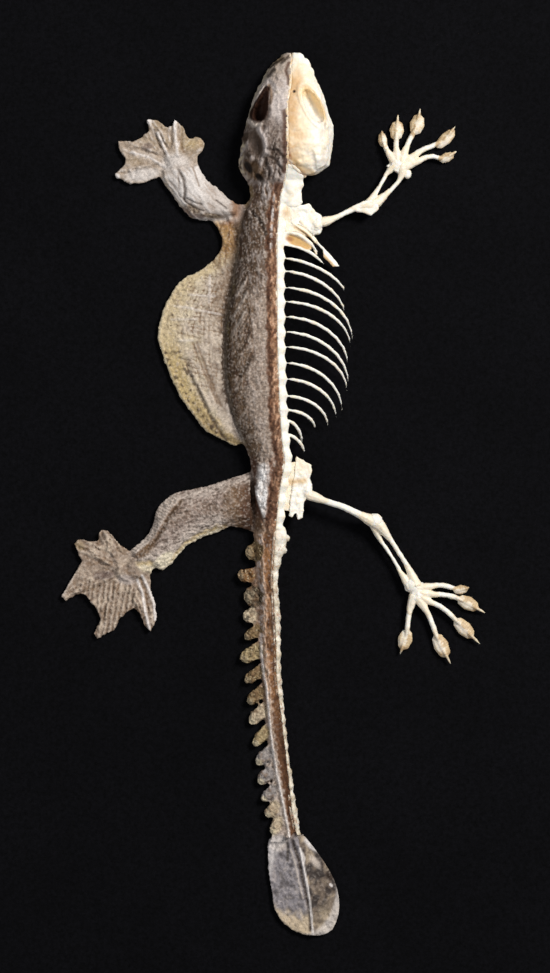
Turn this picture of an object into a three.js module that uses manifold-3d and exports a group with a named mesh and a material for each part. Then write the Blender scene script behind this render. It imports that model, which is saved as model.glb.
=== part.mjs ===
// A dried flying gecko, its left half still in the skin and its right half cleaned to the bones,
// lying belly down and spread out on a flat black board, as a museum shows it.
// Millimetres. +Z is up, +Y is towards the head, and the skin side is -X.
// The origin is the middle of the board's underside.
import * as THREE from "three";
import { mergeVertices } from "three/addons/utils/BufferGeometryUtils.js";
import Module from "manifold-3d";

const wasm = await Module();
wasm.setup();

// Driving dimensions
const BOARD = { wide: 148, long: 210, thick: 5, corner: 1.5 };
const GAP = 0.3; // between pieces that touch
const REST = 0.3; // height of every piece's underside over the board
const STEP_Y = 2; // distance between the cross-sections of the head, body and tail
const RIB_PITCH = 3.05; // one vertebra of the trunk, and one rib

// The line between skin and bone, seen from above, as [y, x].
const MIDLINE = [
  [86.8, 3.1], [80, 3.1], [76, 2.4], [66, 2.5], [63.5, 2.3], [60.6, 1.7], [57.4, 0.8], [49, 0.2],
  [29, 0.3], [17, 0.7], [9, 1.2], [5, 1.8], [2, 1.3], [-1.6, 0.6], [-8.6, 0], [-19, -0.6], [-30, 0],
  [-39, 0.2], [-45.4, 1], [-58.7, 2.6], [-65, 3.2], [-70, 4.2],
];
// Height of the back over the board, as [y, height].
const BACK = [
  [86.8, 2.6], [86, 3.9], [84, 5.2], [80, 6.8], [76, 8.3], [72, 9.4], [68, 9.8], [65, 9.2], [62.5, 7.6],
  [60, 6.4], [56, 6.3], [50, 6.9], [42, 7.6], [32, 7.9], [22, 7.6], [14, 6.9], [6, 6.1], [0, 5.6],
  [-8, 4.6], [-20, 3.9], [-35, 3.4], [-50, 3], [-62, 2.6], [-70, 2.2],
];
// Outer edge of the skin side and of the bone side of each stretch, as [y, x].
const SKIN_EDGE = [
  [86.8, 2], [86.1, 1], [85.3, -0.4], [82, -2.2], [78, -4.3], [73.5, -5.6], [69, -6.7], [64.3, -7.3],
  [62.5, -6.7], [61, -5.4], [58, -4.9], [55.5, -6.3], [53, -7.2], [47, -7.8], [40, -8.8], [34.8, -9.8],
  [24.5, -10.2], [19, -9.8], [14, -8.5], [9, -6.4], [4.5, -4.8], [2, -4.5], [-9, -4.3], [-14, -4.1],
  [-20, -3.3], [-33, -3], [-45, -2.2], [-58.7, -0.5], [-65, 0.8], [-70.4, 1.9],
];
const SKULL_EDGE = [
  [86.8, 3.9], [86.2, 4.9], [84.8, 6.4], [82.7, 7.5], [78.2, 9.7], [74.2, 10.7], [73.2, 11.3], [72, 11.7],
  [70.5, 11.7], [66.8, 11.3], [64, 10.8], [63, 10.1], [62.1, 8],
];
const NECK_EDGE = [[64.6, 5.8], [61.8, 5.8], [60, 5.5], [58, 5.2], [56.6, 5.3]];
// The slanting joint of skull and neck: its direction and its distance from the origin.
const NAPE = { across: [0.636, 0.772, 0], at: 51.42 };
const BONE_TAIL_EDGE = [
  [-8.6, 2.3], [-12, 2.2], [-15.5, 0.9], [-18.5, 0.45], [-21, 0.5], [-26, 0.95], [-37, 1.05], [-43, 1.55],
  [-54.6, 2.7], [-58, 3.3], [-62, 3.8], [-66, 4.5], [-70, 5],
];
// The flying skin's outer edge and the fold where it leaves the flank, from armpit to groin, as [x, y].
const FLAP_EDGE = [
  [-12.3, 53], [-11, 50.8], [-10.5, 48.6], [-11.4, 46.4], [-13.4, 44.4], [-16, 42.6], [-18.4, 41.6],
  [-20.4, 39.3], [-22, 36.2], [-23.1, 32.7], [-23.5, 29.3], [-22.2, 25.6], [-20.8, 21.7], [-18.8, 17.6],
  [-16, 13.8], [-13.6, 10.8], [-10.4, 9.3], [-8, 8],
];
const FLAP_FOLD = [
  [-7.6, 52.8], [-7.9, 50.5], [-8, 48.2], [-8.2, 46], [-8.5, 44], [-8.9, 42], [-9.2, 39.8], [-9.7, 37.4],
  [-10.2, 34.8], [-10.4, 32], [-10.5, 29], [-10.6, 25.6], [-10.4, 22], [-9.9, 18.4], [-9.2, 15],
  [-8.2, 12], [-7.3, 10], [-6.6, 8.6],
];
// Left limbs as rungs across the skin, from body to wrist or ankle: [front or upper end, rear or lower end].
const UPPER_ARM = [
  [[-7.9, 56.7], [-7.7, 53.9]], [[-9, 57.3], [-12.4, 53.4]], [[-10.9, 59.1], [-15.5, 53.4]],
  [[-12.3, 60.2], [-17.1, 54]],
];
const FOREARM = [
  [[-12.6, 60.5], [-17.4, 54.3]], [[-13.6, 61.2], [-18.8, 55.9]], [[-14.8, 63], [-20.6, 58.5]],
  [[-15.3, 64.2], [-22.8, 61.5]],
];
const THIGH = [
  [[-5.1, 2.8], [-4.7, -9]], [[-8.8, 1.5], [-8.6, -8]], [[-12.9, 0.1], [-11.5, -9.2]],
  [[-16.9, -0.8], [-14.2, -10.1]], [[-20.1, -1.4], [-16.9, -11.4]], [[-22, -2.8], [-18, -12.2]],
];
const SHANK = [
  [[-22.3, -3.1], [-18.2, -12.6]], [[-23.8, -4.8], [-19.2, -13.6]], [[-24.2, -7.2], [-20.4, -15]],
  [[-25.6, -10], [-22.4, -16.8]], [[-27.6, -11.9], [-24.2, -16.3]], [[-28.8, -12.8], [-24.8, -17.4]],
];
// Webbed hand and foot, outline anticlockwise or clockwise from the wrist or ankle, and the toe tips.
const HAND_WEB = [
  [-15.5, 64.8], [-15.5, 66.2], [-14.4, 67.5], [-14.1, 68.7], [-14.9, 69.8], [-16, 70.1], [-17, 69.5],
  [-17.8, 70.2], [-18.2, 71.6], [-19.2, 72.5], [-20.2, 73.5], [-20.6, 72.1], [-21.7, 71.8], [-22.5, 72.5],
  [-23.6, 73.4], [-25.7, 73.4], [-25.3, 71.2], [-26.8, 69.9], [-28.5, 69], [-30, 69.2], [-31.5, 69.2],
  [-31.3, 67.6], [-30, 65.7], [-30.1, 64.4], [-32.1, 62.6], [-31.6, 61.8], [-29, 60.7], [-26.6, 60.7],
  [-24.6, 61.5], [-23.2, 62.1],
];
const HAND_WRIST = [-19.4, 64.3];
const HAND_TIPS = [[-15.2, 68.7], [-20, 72.6], [-24, 72.6], [-30.7, 68.6], [-31, 62.3]];
const FOOT_WEB = [
  [-29.4, -13], [-31.1, -11.9], [-32.4, -10.3], [-33.5, -9], [-34.6, -8.7], [-35.3, -9.5], [-35.3, -10.9],
  [-37, -11.1], [-39.4, -10.6], [-40.2, -11.6], [-39.5, -13.3], [-38.7, -15.2], [-39.6, -16.6],
  [-41.5, -19.8], [-42.8, -22.2], [-42, -23], [-39.9, -21.7], [-38.2, -21.6], [-36, -24.3], [-35, -26.6],
  [-36.2, -29.6], [-35.7, -30.8], [-34.4, -29.8], [-32.4, -29], [-31.3, -26.7], [-30, -25.5],
  [-28.2, -24.4], [-27.2, -25.4], [-26, -28.2], [-25, -29.2], [-23.8, -26.9], [-24.1, -23.7],
  [-24.9, -21], [-25.1, -18],
];
const FOOT_ANKLE = [-28.2, -16.4];
const FOOT_TIPS = [[-34.3, -9.8], [-39.2, -11.6], [-42, -22], [-35.4, -29.8], [-25, -28]];
// Lobes along the tail's skin side, as [x, y, half length, half width, lean]. A lean of 0 degrees points
// to the left, and one of 90 to the tail's end.
const LOBES = [
  [-4.4, -13.2, 1.7, 1.7, 10], [-6, -17.9, 1.6, 1.35, 0], [-4.6, -22.1, 1.75, 2, 0], [-5.2, -26, 1.3, 1.4, 0],
  [-4.7, -29.6, 1.9, 1.1, 35], [-5, -33.8, 2.3, 1.5, 35], [-4.4, -38, 2.1, 1.2, 40], [-4.1, -42.2, 2.1, 1.2, 45],
  [-3.7, -46.1, 2.2, 1.3, 50], [-3, -50.4, 2.1, 1.15, 55], [-2.4, -54.4, 2, 1.25, 50],
  [-2.1, -58.3, 1.9, 1.25, 50], [-1.4, -61.8, 1.9, 1.1, 50], [-0.7, -65, 1.8, 1.1, 55], [0.1, -68.1, 1.8, 1, 65],
];
const TAIL_JOINT = -40.2;
// Left edge and right edge of the tail's end flap, and its middle groove, from front to back, as [x, y].
const END_FLAP = {
  left: [[-1.2, -70.9], [-1.4, -74.1], [-1.1, -78.5], [-0.6, -81.4], [-0.1, -84.6], [1.3, -87.1], [3.5, -89], [5.9, -89.9]],
  groove: [[4.3, -70.9], [4.9, -74.3], [5.6, -78.4], [6.1, -81.2], [6.6, -84.1], [7, -86.6], [7.3, -88.6], [7.5, -90.1]],
  right: [[6, -70.3], [8.9, -74], [11.4, -78], [12.5, -81], [12.9, -84], [12.5, -86.8], [11.2, -89.3], [9.1, -90.1]],
};
// Ribs: [y of the root, x of the tip, y of the tip, bend]. A bend of 1 is a quarter ellipse, and more is straighter.
const RIBS = [
  [45.5, 14.2, 38.4, 1.25], [42.9, 14, 34.4, 1.12], [39.6, 15.6, 28.9, 1], [36.8, 15.2, 27.7, 1],
  [33.8, 14.7, 23.8, 1], [30.8, 14.8, 20.1, 1], [27.8, 14.5, 18.9, 1], [24.6, 13.5, 14.9, 1],
  [21.4, 12.3, 13.5, 1], [18, 10.6, 12, 1], [15.2, 8.1, 11.3, 1], [13.2, 5.4, 8.3, 1], [10.4, 5.9, 6.6, 1.2],
];
// The first short ribs behind the shoulder, as [x, y, height].
const SHORT_RIBS = [
  [[1.2, 50.4, 5.9], [4, 50.4, 5.8], [6.6, 48.9, 5.1], [8.8, 46.3, 3.7]],
  [[1.2, 48, 6], [4, 47.8, 5.9], [7.2, 46.5, 5], [10.2, 44, 3.4]],
];
// Dried tissue that fills the space between the short ribs, as an outline [x, y].
const TISSUE = [[1.8, 50.3], [4, 50.3], [6.4, 48.9], [7.3, 47.2], [5.4, 47.5], [3.6, 47.9], [1.8, 48]];
const BAR_TISSUE = [[9.6, 47.1], [12.8, 44], [11.6, 43.9], [10.7, 44.9], [9.7, 45.8]];
const BREAST_BAR = [[6.5, 50.6, 2.7], [8.3, 48.8, 2.7], [10.8, 46.2, 2.3], [12.9, 44, 1.7]];
// Flat girdle bones, as outlines [x, y].
const SHOULDER = [
  [3.1, 55.8], [5.3, 56], [6.8, 56.4], [7.8, 54.9], [9.2, 54.2], [9.6, 52.6], [9.1, 50.6], [7.7, 49.9],
  [6.2, 51.5], [4.6, 52.2], [3.1, 51.7],
];
const PELVIS = [
  [4.3, 5.9], [7.2, 4.2], [7.3, 3.2], [6.9, 1.4], [7.3, 0.2], [7.2, -1.2], [6.2, -2.3], [5.7, -3.5],
  [5.4, -6.3], [4.6, -6.7], [4.2, -5.2], [3.4, -6.2], [2.8, -6], [3.1, -3], [3.6, 0.5],
];
// Right limb bones, as [x, y, height] of their middle line.
const HUMERUS = [[8.6, 52.4, 3.6], [10.9, 53.1, 3.2], [14.2, 54.7, 2.8], [16.8, 55.8, 2.4], [19, 56.2, 2.1], [20.6, 57.6, 2]];
const ELBOW_CREST = [[15.4, 55.9], [17.6, 56.9], [19.4, 57.3], [20.6, 56.7], [20.7, 55.4], [19.2, 54.1], [17.8, 54.7], [16.2, 54.9]];
const RADIUS = [[18.8, 55.8, 2.1], [19.9, 58, 2.1], [21.3, 60.6, 1.8], [22.8, 63.4, 1.6], [23.5, 64.6, 1.6]];
const ULNA = [[19.8, 55.4, 2], [21.4, 57.4, 1.9], [23.6, 59.7, 1.7], [25.6, 62.2, 1.6], [26, 63.4, 1.6]];
const FEMUR = [[6, -1.6, 3.6], [8.4, -2.5, 3.8], [11, -3.3, 4], [13.7, -4.2, 4], [16.4, -5.5, 3.6], [18.6, -6.6, 3.1], [21.2, -8, 2.6]];
const TIBIA = [[20.6, -6.4, 2.8], [21.8, -8.5, 2.6], [24.1, -12.2, 2.2], [26.4, -15.8, 1.9], [28.2, -18.8, 1.7]];
const FIBULA = [[19.3, -8, 2.3], [20.4, -9.8, 2], [23.3, -14, 1.8], [25.6, -18, 1.6], [26.3, -19.6, 1.5]];
// Digits of the bone side: joints of the bone line, the middle of the pad, its half length and half width, the claw's tip.
const FINGERS = [
  { line: [[24.2, 64.8], [22.9, 66.4], [22.3, 67.6], [21.8, 69]], pad: [21.6, 69.4, 1.6, 0.95], claw: [21.4, 71.4] },
  { line: [[24.6, 65], [24.3, 66.9], [24.3, 68.7], [24.4, 70.8]], pad: [24.4, 71.3, 2.1, 1.5], claw: [24.7, 74.7] },
  { line: [[25.2, 65], [26, 67.2], [27.1, 69.5], [28.1, 71.6]], pad: [28.5, 72.5, 2.3, 1.5], claw: [29.2, 76] },
  { line: [[25.2, 64], [28, 66.5], [30.3, 67.7], [32.3, 68.5]], pad: [34.2, 69.6, 2.6, 1.2], claw: [36.3, 72.3] },
  { line: [[25.2, 63.4], [28.6, 65.2], [31.4, 66.1], [33.2, 65.7]], pad: [34.4, 65.9, 1.7, 1], claw: [36.6, 67.2] },
];
// Small bones of the wrist and ankle, each as [x, y, height, half length, half width, half height].
const WRIST_LUMPS = [[24.7, 64.3, 1.5, 2, 1.9, 1.1], [22.8, 63.8, 1.3, 0.7, 0.7, 0.7], [26.5, 62.5, 1.3, 1, 0.9, 0.8]];
const ANKLE_LUMPS = [[27.5, -19.8, 1.6, 1.7, 1.8, 1.2], [28.6, -21.8, 1.5, 1.9, 1.6, 1.1], [29.3, -20.2, 1.3, 1, 0.9, 0.8]];
const TOES = [
  { line: [[28.6, -20.5], [31.4, -20], [33.6, -19.9], [35.9, -20.5]], pad: [37.2, -20.8, 1.6, 0.95], claw: [39.1, -20.3] },
  { line: [[29, -21.3], [31.6, -21.7], [34, -21.8], [36.4, -22.4]], pad: [38.7, -23.5, 2.5, 1.4], claw: [42.4, -25.6] },
  { line: [[28.6, -22], [31, -23.2], [33.3, -24.2], [35.4, -26]], pad: [37.9, -28.5, 2.8, 1.5], claw: [41.4, -32] },
  { line: [[28.6, -22.4], [30.4, -25], [31.2, -26.8], [32, -29]], pad: [33.3, -32, 2.8, 1.55], claw: [35.4, -36] },
  { line: [[27.8, -22], [27, -24.8], [26.7, -26.8], [26.5, -28.8]], pad: [26.1, -30.8, 2.3, 1.5], claw: [25, -34] },
];

// Colours of the dried pieces
const paint = (color, roughness = 0.8) => new THREE.MeshStandardMaterial({ color, roughness, metalness: 0 });
const BONE = paint(0xece6d6, 0.6);
const SKIN = paint(0x7d7068);
const FLAP_SKIN = paint(0xa89a78);
const CLOTH = paint(0x0b0b0d, 0.95);

const { lerp, clamp } = THREE.MathUtils;
const over = (x, y, height) => new THREE.Vector3(x, y, BOARD.thick + height);
const specimen = new THREE.Group();

// The value at y of a table of [y, value] rows that run down from high y to low.
function read(table, y) {
  const i = clamp(table.findIndex((row) => row[0] <= y), 1, table.length - 1);
  const [from, to] = [table[i - 1], table[i]];
  return lerp(from[1], to[1], clamp((from[0] - y) / (from[0] - to[0]), 0, 1));
}

// Cross-section places from one y down to another, at whole steps between them.
function stations(from, to, step = STEP_Y) {
  const inside = [];
  for (let y = Math.ceil(from / step - 1) * step; y > to + step / 3; y -= step) {
    if (y < from - step / 3) inside.push(y);
  }
  return [from, ...inside, to];
}

// A closed geometry as a solid, whichever way its faces were wound.
function solid(geometry) {
  const bare = geometry.index ? geometry.clone() : geometry;
  bare.deleteAttribute("normal");
  bare.deleteAttribute("uv");
  const merged = mergeVertices(bare, 1e-4);
  const triVerts = new Uint32Array(merged.index.array);
  const vertProperties = merged.attributes.position.array;
  const made = new wasm.Manifold(new wasm.Mesh({ numProp: 3, vertProperties, triVerts }));
  if (made.volume() > 0) return made;
  return new wasm.Manifold(new wasm.Mesh({ numProp: 3, vertProperties, triVerts: triVerts.reverse() }));
}

const join = (pieces) => pieces.reduce((all, piece) => all.add(piece));
const largest = (made) => made.decompose().reduce((a, b) => (b.volume() > a.volume() ? b : a));

function add(name, made, material) {
  const body = largest(made).getMesh();
  const geometry = new THREE.BufferGeometry();
  geometry.setAttribute("position", new THREE.BufferAttribute(body.vertProperties, body.numProp));
  geometry.setIndex(new THREE.BufferAttribute(body.triVerts, 1));
  geometry.computeVertexNormals();
  const mesh = new THREE.Mesh(geometry, material);
  mesh.name = name;
  specimen.add(mesh);
}

// The part of a solid on the far side of a plane through a point, half a gap away from it.
function beyond(made, point, direction) {
  const normal = direction.clone().normalize();
  return made.trimByPlane(normal.toArray(), normal.dot(point) + GAP / 2);
}
const before = (made, point, direction) => beyond(made, point, direction.clone().negate());
const offBoard = (made) => made.trimByPlane([0, 0, 1], BOARD.thick + REST);

// A closed relief between a left and a right edge: heights(share across, share along) gives its top and underside.
function strip(rungs, across, heights) {
  const position = [];
  const last = rungs.length - 1;
  rungs.forEach(([left, right], i) => {
    for (let j = 0; j <= across; j++) {
      const [x, y] = [lerp(left[0], right[0], j / across), lerp(left[1], right[1], j / across)];
      for (const height of heights(j / across, i / last, x, y)) position.push(...over(x, y, height));
    }
  });
  const top = (i, j) => 2 * (i * (across + 1) + j);
  const under = (i, j) => top(i, j) + 1;
  const index = [];
  const quad = (a, b, c, d) => index.push(a, b, c, a, c, d);
  for (let i = 0; i < last; i++) {
    for (let j = 0; j < across; j++) {
      quad(top(i, j), top(i + 1, j), top(i + 1, j + 1), top(i, j + 1));
      quad(under(i, j), under(i, j + 1), under(i + 1, j + 1), under(i + 1, j));
    }
    quad(top(i, 0), under(i, 0), under(i + 1, 0), top(i + 1, 0));
    quad(top(i, across), top(i + 1, across), under(i + 1, across), under(i, across));
  }
  for (let j = 0; j < across; j++) {
    quad(top(0, j), top(0, j + 1), under(0, j + 1), under(0, j));
    quad(top(last, j), under(last, j), under(last, j + 1), top(last, j + 1));
  }
  const geometry = new THREE.BufferGeometry();
  geometry.setAttribute("position", new THREE.Float32BufferAttribute(position, 3));
  geometry.setIndex(index);
  return solid(geometry);
}

// A smooth run of rungs through a few given ones.
function smoothRungs(rungs, count) {
  const [left, right] = [0, 1].map((side) => new THREE.SplineCurve(rungs.map((rung) => new THREE.Vector2(...rung[side]))));
  return Array.from({ length: count + 1 }, (_, i) => [left, right].map((edge) => edge.getPoint(i / count).toArray()));
}

// A bone or claw: an egg shape whose rings follow a smooth line. radius(share along) gives [half width, half height].
function limb(points, radius, { sides = 6, rings = 10 } = {}) {
  const line = new THREE.CatmullRomCurve3(points, false, "centripetal");
  const geometry = new THREE.SphereGeometry(1, sides, rings);
  const position = geometry.attributes.position;
  const up = new THREE.Vector3(0, 0, 1);
  for (let i = 0; i < position.count; i++) {
    const share = clamp(Math.acos(clamp(position.getY(i), -1, 1)) / Math.PI, 0, 1);
    const ring = Math.hypot(position.getX(i), position.getZ(i));
    const turn = Math.atan2(position.getZ(i), position.getX(i));
    const along = line.getTangentAt(share);
    const wide = new THREE.Vector3().crossVectors(along, up).normalize();
    const high = new THREE.Vector3().crossVectors(wide, along);
    const full = ring < 1e-6 ? 0 : Math.pow(ring, 0.35);
    const [halfWide, halfHigh] = radius(share);
    const place = line.getPointAt(share)
      .addScaledVector(wide, full * halfWide * Math.cos(turn))
      .addScaledVector(high, full * halfHigh * Math.sin(turn));
    position.setXYZ(i, ...place);
  }
  return solid(geometry);
}

// A shaft that swells to its two ends.
const shaft = (middle, near, far, flat = 1) => (s) => {
  const swell = Math.max(Math.pow(1 - s, 5) * (near - middle), Math.pow(s, 4) * (far - middle));
  return [middle + swell, (middle + swell) * flat];
};

// A ball stretched along one direction in the plane of the board.
function egg(x, y, height, halfLong, halfWide, halfHigh, direction = [0, 1], sides = 8) {
  const geometry = new THREE.SphereGeometry(1, sides, Math.ceil(sides / 2));
  geometry.rotateX(Math.PI / 2);
  geometry.scale(halfWide, halfLong, halfHigh);
  geometry.rotateZ(Math.atan2(-direction[0], direction[1]));
  geometry.translate(...over(x, y, height));
  return solid(geometry);
}

// A flat plate. lift(x, y) is the height of its underside.
function plate(outline, thick, lift) {
  const shape = new THREE.Shape(outline.map((point) => new THREE.Vector2(...point)));
  const geometry = new THREE.ExtrudeGeometry(shape, { depth: thick, bevelEnabled: false });
  const position = geometry.attributes.position;
  for (let i = 0; i < position.count; i++) {
    const rise = BOARD.thick + lift(position.getX(i), position.getY(i));
    position.setZ(i, position.getZ(i) + rise);
  }
  return solid(geometry);
}

// Half a body between the midline and an outer edge. side is -1 for skin and 1 for bone.
function half({ from, to, edge, side, floor = REST, round = 0.6, across = 8, step = STEP_Y }) {
  const rungs = stations(from, to, step).map((y) => {
    const cut = [read(MIDLINE, y) + side * GAP / 2, y];
    return side < 0 ? [[read(edge, y), y], cut] : [cut, [read(edge, y), y]];
  });
  return strip(rungs, across, (s, _, x, y) => {
    const out = side < 0 ? 1 - s : s;
    const rise = read(BACK, y) - floor;
    return [floor + 0.35 + (rise - 0.35) * Math.pow(1 - Math.pow(out, 2.2), round), floor];
  });
}

function board() {
  const { wide, long, thick, corner } = BOARD;
  const [x, y] = [wide / 2, long / 2];
  const shape = new THREE.Shape();
  shape.moveTo(-x + corner, -y).lineTo(x - corner, -y).absarc(x - corner, -y + corner, corner, -Math.PI / 2, 0);
  shape.lineTo(x, y - corner).absarc(x - corner, y - corner, corner, 0, Math.PI / 2);
  shape.lineTo(-x + corner, y).absarc(-x + corner, y - corner, corner, Math.PI / 2, Math.PI);
  shape.lineTo(-x, -y + corner).absarc(-x + corner, -y + corner, corner, Math.PI, 1.5 * Math.PI);
  add("board", solid(new THREE.ExtrudeGeometry(shape, { depth: thick, bevelEnabled: false, curveSegments: 2 })), CLOTH);
}

// Skin side of the head, with the eye's hollow, the sunken temple and the ear.
function skinHead() {
  let head = half({ from: 86.6, to: 61, edge: SKIN_EDGE, side: -1, round: 0.5 });
  const eye = [egg(-1.75, 79.1, 8.4, 0.65, 0.5, 3, [0, 1], 10), egg(-3.2, 74.5, 7.2, 2.05, 1.7, 4.6, [0, 1], 12)];
  head = head.subtract(wasm.Manifold.hull(eye));
  head = head.subtract(egg(-3.6, 68, 9.6, 3.2, 1.5, 2.2, [-0.3, 1], 8));
  head = head.subtract(egg(-4.2, 63.4, 7.4, 1.8, 1.1, 2.2, [-0.4, 1], 8));
  add("head_skin", head, SKIN);
}

// Bone side of the skull above the mouth, with the eye's opening, the hollow behind it and the nostril.
const MOUTH = 3.3; // height of the line between the jaws
function skull() {
  let bone = half({ from: 86.6, to: 62.1, edge: SKULL_EDGE, side: 1, floor: MOUTH, round: 0.42 });
  bone = bone.subtract(egg(7.6, 75.7, 8, 4.1, 1.7, 4, [-0.46, 0.89], 12));
  bone = bone.subtract(egg(9.2, 66.4, 9.6, 2, 1.2, 1.6, [0.1, 1], 8));
  bone = bone.subtract(egg(4.6, 85.9, 4.9, 0.8, 0.45, 0.6, [-0.6, 1], 6));
  add("skull_right", bone.trimByPlane(NAPE.across, NAPE.at + GAP / 2), BONE);
}

function lowerJaw() {
  const ys = [85.6, 83, 79, 75, 71, 67, 64];
  const line = ys.map((y) => over(read(SKULL_EDGE, y) - lerp(1.5, 1.1, (y - 64) / 21.6), y, 1.65));
  const arm = limb(line, shaft(0.85, 0.9, 1.1, 1.55), { sides: 8, rings: 12 });
  const top = over(0, 0, MOUTH - GAP);
  const jaw = arm.trimByPlane([0, 0, -1], -top.z).trimByPlane([1, 0, 0], 3.1 + GAP / 2);
  add("jaw_right", offBoard(jaw), BONE);
}

function skinBody() {
  add("neck_skin", half({ from: 60.7, to: 56.2, edge: SKIN_EDGE, side: -1, across: 6 }), SKIN);
  add("torso_skin", half({ from: 55.9, to: 5.9, edge: SKIN_EDGE, side: -1, across: 6, step: 2.5 }), SKIN);
  add("hip_skin", half({ from: 5.6, to: -9.2, edge: SKIN_EDGE, side: -1, across: 6, step: 2.5 }), SKIN);
}

// The flying skin of the flank: a thin sheet that rises from its scalloped edge to the fold.
function flankFlap() {
  const rungs = smoothRungs(FLAP_EDGE.map((edge, i) => [edge, FLAP_FOLD[i]]), 24);
  const flap = strip(rungs, 5, (s, t) => {
    const top = REST + 0.7 + 1.5 * Math.sin(0.5 * Math.PI * s) * Math.pow(Math.sin(Math.PI * (0.08 + 0.84 * t)), 0.6);
    return [top, top - 0.7];
  });
  add("flank_flap", flap, FLAP_SKIN);
}

// A skin limb that lies flat on the board, low at its edges and full in the middle.
function skinLimb(name, rungs, count, rise, rim = 0.8) {
  const made = strip(smoothRungs(rungs, count), 5, (s, t) => {
    return [REST + rim + rise(t) * Math.pow(Math.sin(Math.PI * s), 0.7), REST];
  });
  add(name, made, SKIN);
}

function skinLimbs() {
  skinLimb("upper_arm_skin", UPPER_ARM, 5, (t) => lerp(2.4, 1.8, t));
  skinLimb("forearm_skin", FOREARM, 6, (t) => lerp(1.8, 1.3, t));
  skinLimb("thigh_skin", THIGH, 9, (t) => lerp(3, 2.2, t));
  skinLimb("shank_skin", SHANK, 8, (t) => lerp(2.2, 1.5, t));
}

// A webbed hand or foot: a thin plate with a ridge along each digit.
function webbed(name, outline, root, tips, reach) {
  const web = plate(outline, 0.8, () => REST);
  const ridges = tips.map(([x, y]) => {
    const start = over(lerp(root[0], x, 0.12), lerp(root[1], y, 0.12), 1.1);
    const middle = over(lerp(root[0], x, 0.55), lerp(root[1], y, 0.55), 1.1);
    return limb([start, middle, over(x, y, 0.9)], shaft(0.55, 0.9, 0.75, 0.9), { sides: 5, rings: 5 });
  });
  const heel = egg(...root, 1, reach[0], reach[1], 1.1, reach[2], 8);
  return add(name, offBoard(join([web, ...ridges, heel])), SKIN);
}

function skinFeet() {
  webbed("hand_skin", HAND_WEB, [HAND_WRIST[0] - 0.8, HAND_WRIST[1] + 2.2], HAND_TIPS, [1.7, 2.6, [-0.5, 1]]);
  webbed("foot_skin", FOOT_WEB, [FOOT_ANKLE[0] - 2.2, FOOT_ANKLE[1] - 1], FOOT_TIPS, [1.5, 2.4, [-0.8, -0.6]]);
}

// A rounded lobe that lies on the board, with a neck that roots it in the tail's skin.
function lobe([x, y, long, wide, lean]) {
  const angle = THREE.MathUtils.degToRad(lean);
  const [aimX, aimY] = [-Math.cos(angle), -Math.sin(angle)];
  const reach = (read(SKIN_EDGE, y) + 0.7 - x) / -aimX;
  const knob = egg(x, y, 1, long, wide, 0.9, [aimX, aimY], 10);
  const neck = egg(x - 0.5 * reach * aimX, y - 0.5 * reach * aimY, 1, 0.5 * reach + 0.7, 0.95 * wide, 0.8, [aimX, aimY], 6);
  return offBoard(knob.add(neck));
}

// The tail's skin with its row of lobes, in a front and a rear length.
function skinTail() {
  const parts = [["tail_skin_front", -9.5, TAIL_JOINT + GAP / 2], ["tail_skin_rear", TAIL_JOINT - GAP / 2, -70.3]];
  for (const [name, from, to] of parts) {
    const band = half({ from, to, edge: SKIN_EDGE, side: -1, across: 4, step: 3 });
    const lobes = LOBES.filter(([, y]) => y < from && y > to).map(lobe);
    add(name, join([band, ...lobes]).trimByPlane([0, -1, 0], -from).trimByPlane([0, 1, 0], to), SKIN);
  }
}

// The paddle at the tail's end, in two halves with the groove between them.
function endFlap() {
  const { left, groove, right } = END_FLAP;
  const shifted = (edge, by) => edge.map(([x, y]) => [x + by, y]);
  const halves = [
    ["tail_end_left", left, shifted(groove, -GAP / 2), (s) => s],
    ["tail_end_right", shifted(groove, GAP / 2), right, (s) => 1 - s],
  ];
  for (const [name, from, to, inward] of halves) {
    const rungs = smoothRungs(from.map((point, i) => [point, to[i]]), 12);
    const made = strip(rungs, 5, (s, t) => [REST + 0.7 + lerp(1.1, 0.3, t) * Math.pow(inward(s), 1.5), REST]);
    add(name, made, SKIN);
  }
}

// The row of vertebrae beside the cut skin, swelling at each one. edge(y) is its outer edge.
function vertebrae(from, to, edge, { step = RIB_PITCH / 2, pitch = RIB_PITCH, deep = 2.5, bump = 0.2 } = {}) {
  const rungs = stations(from, to, step).map((y) => {
    const cut = read(MIDLINE, y) + GAP / 2;
    const swell = bump * Math.cos((2 * Math.PI * y) / pitch);
    return [[cut, y], [edge(y) + swell, y]];
  });
  return strip(rungs, 2, (s, _, x, y) => {
    const top = read(BACK, y) + 0.15 * Math.cos((2 * Math.PI * y) / pitch);
    return [top - 0.7 * s * s, Math.max(top - deep + 0.5 * s, REST)];
  });
}

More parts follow.
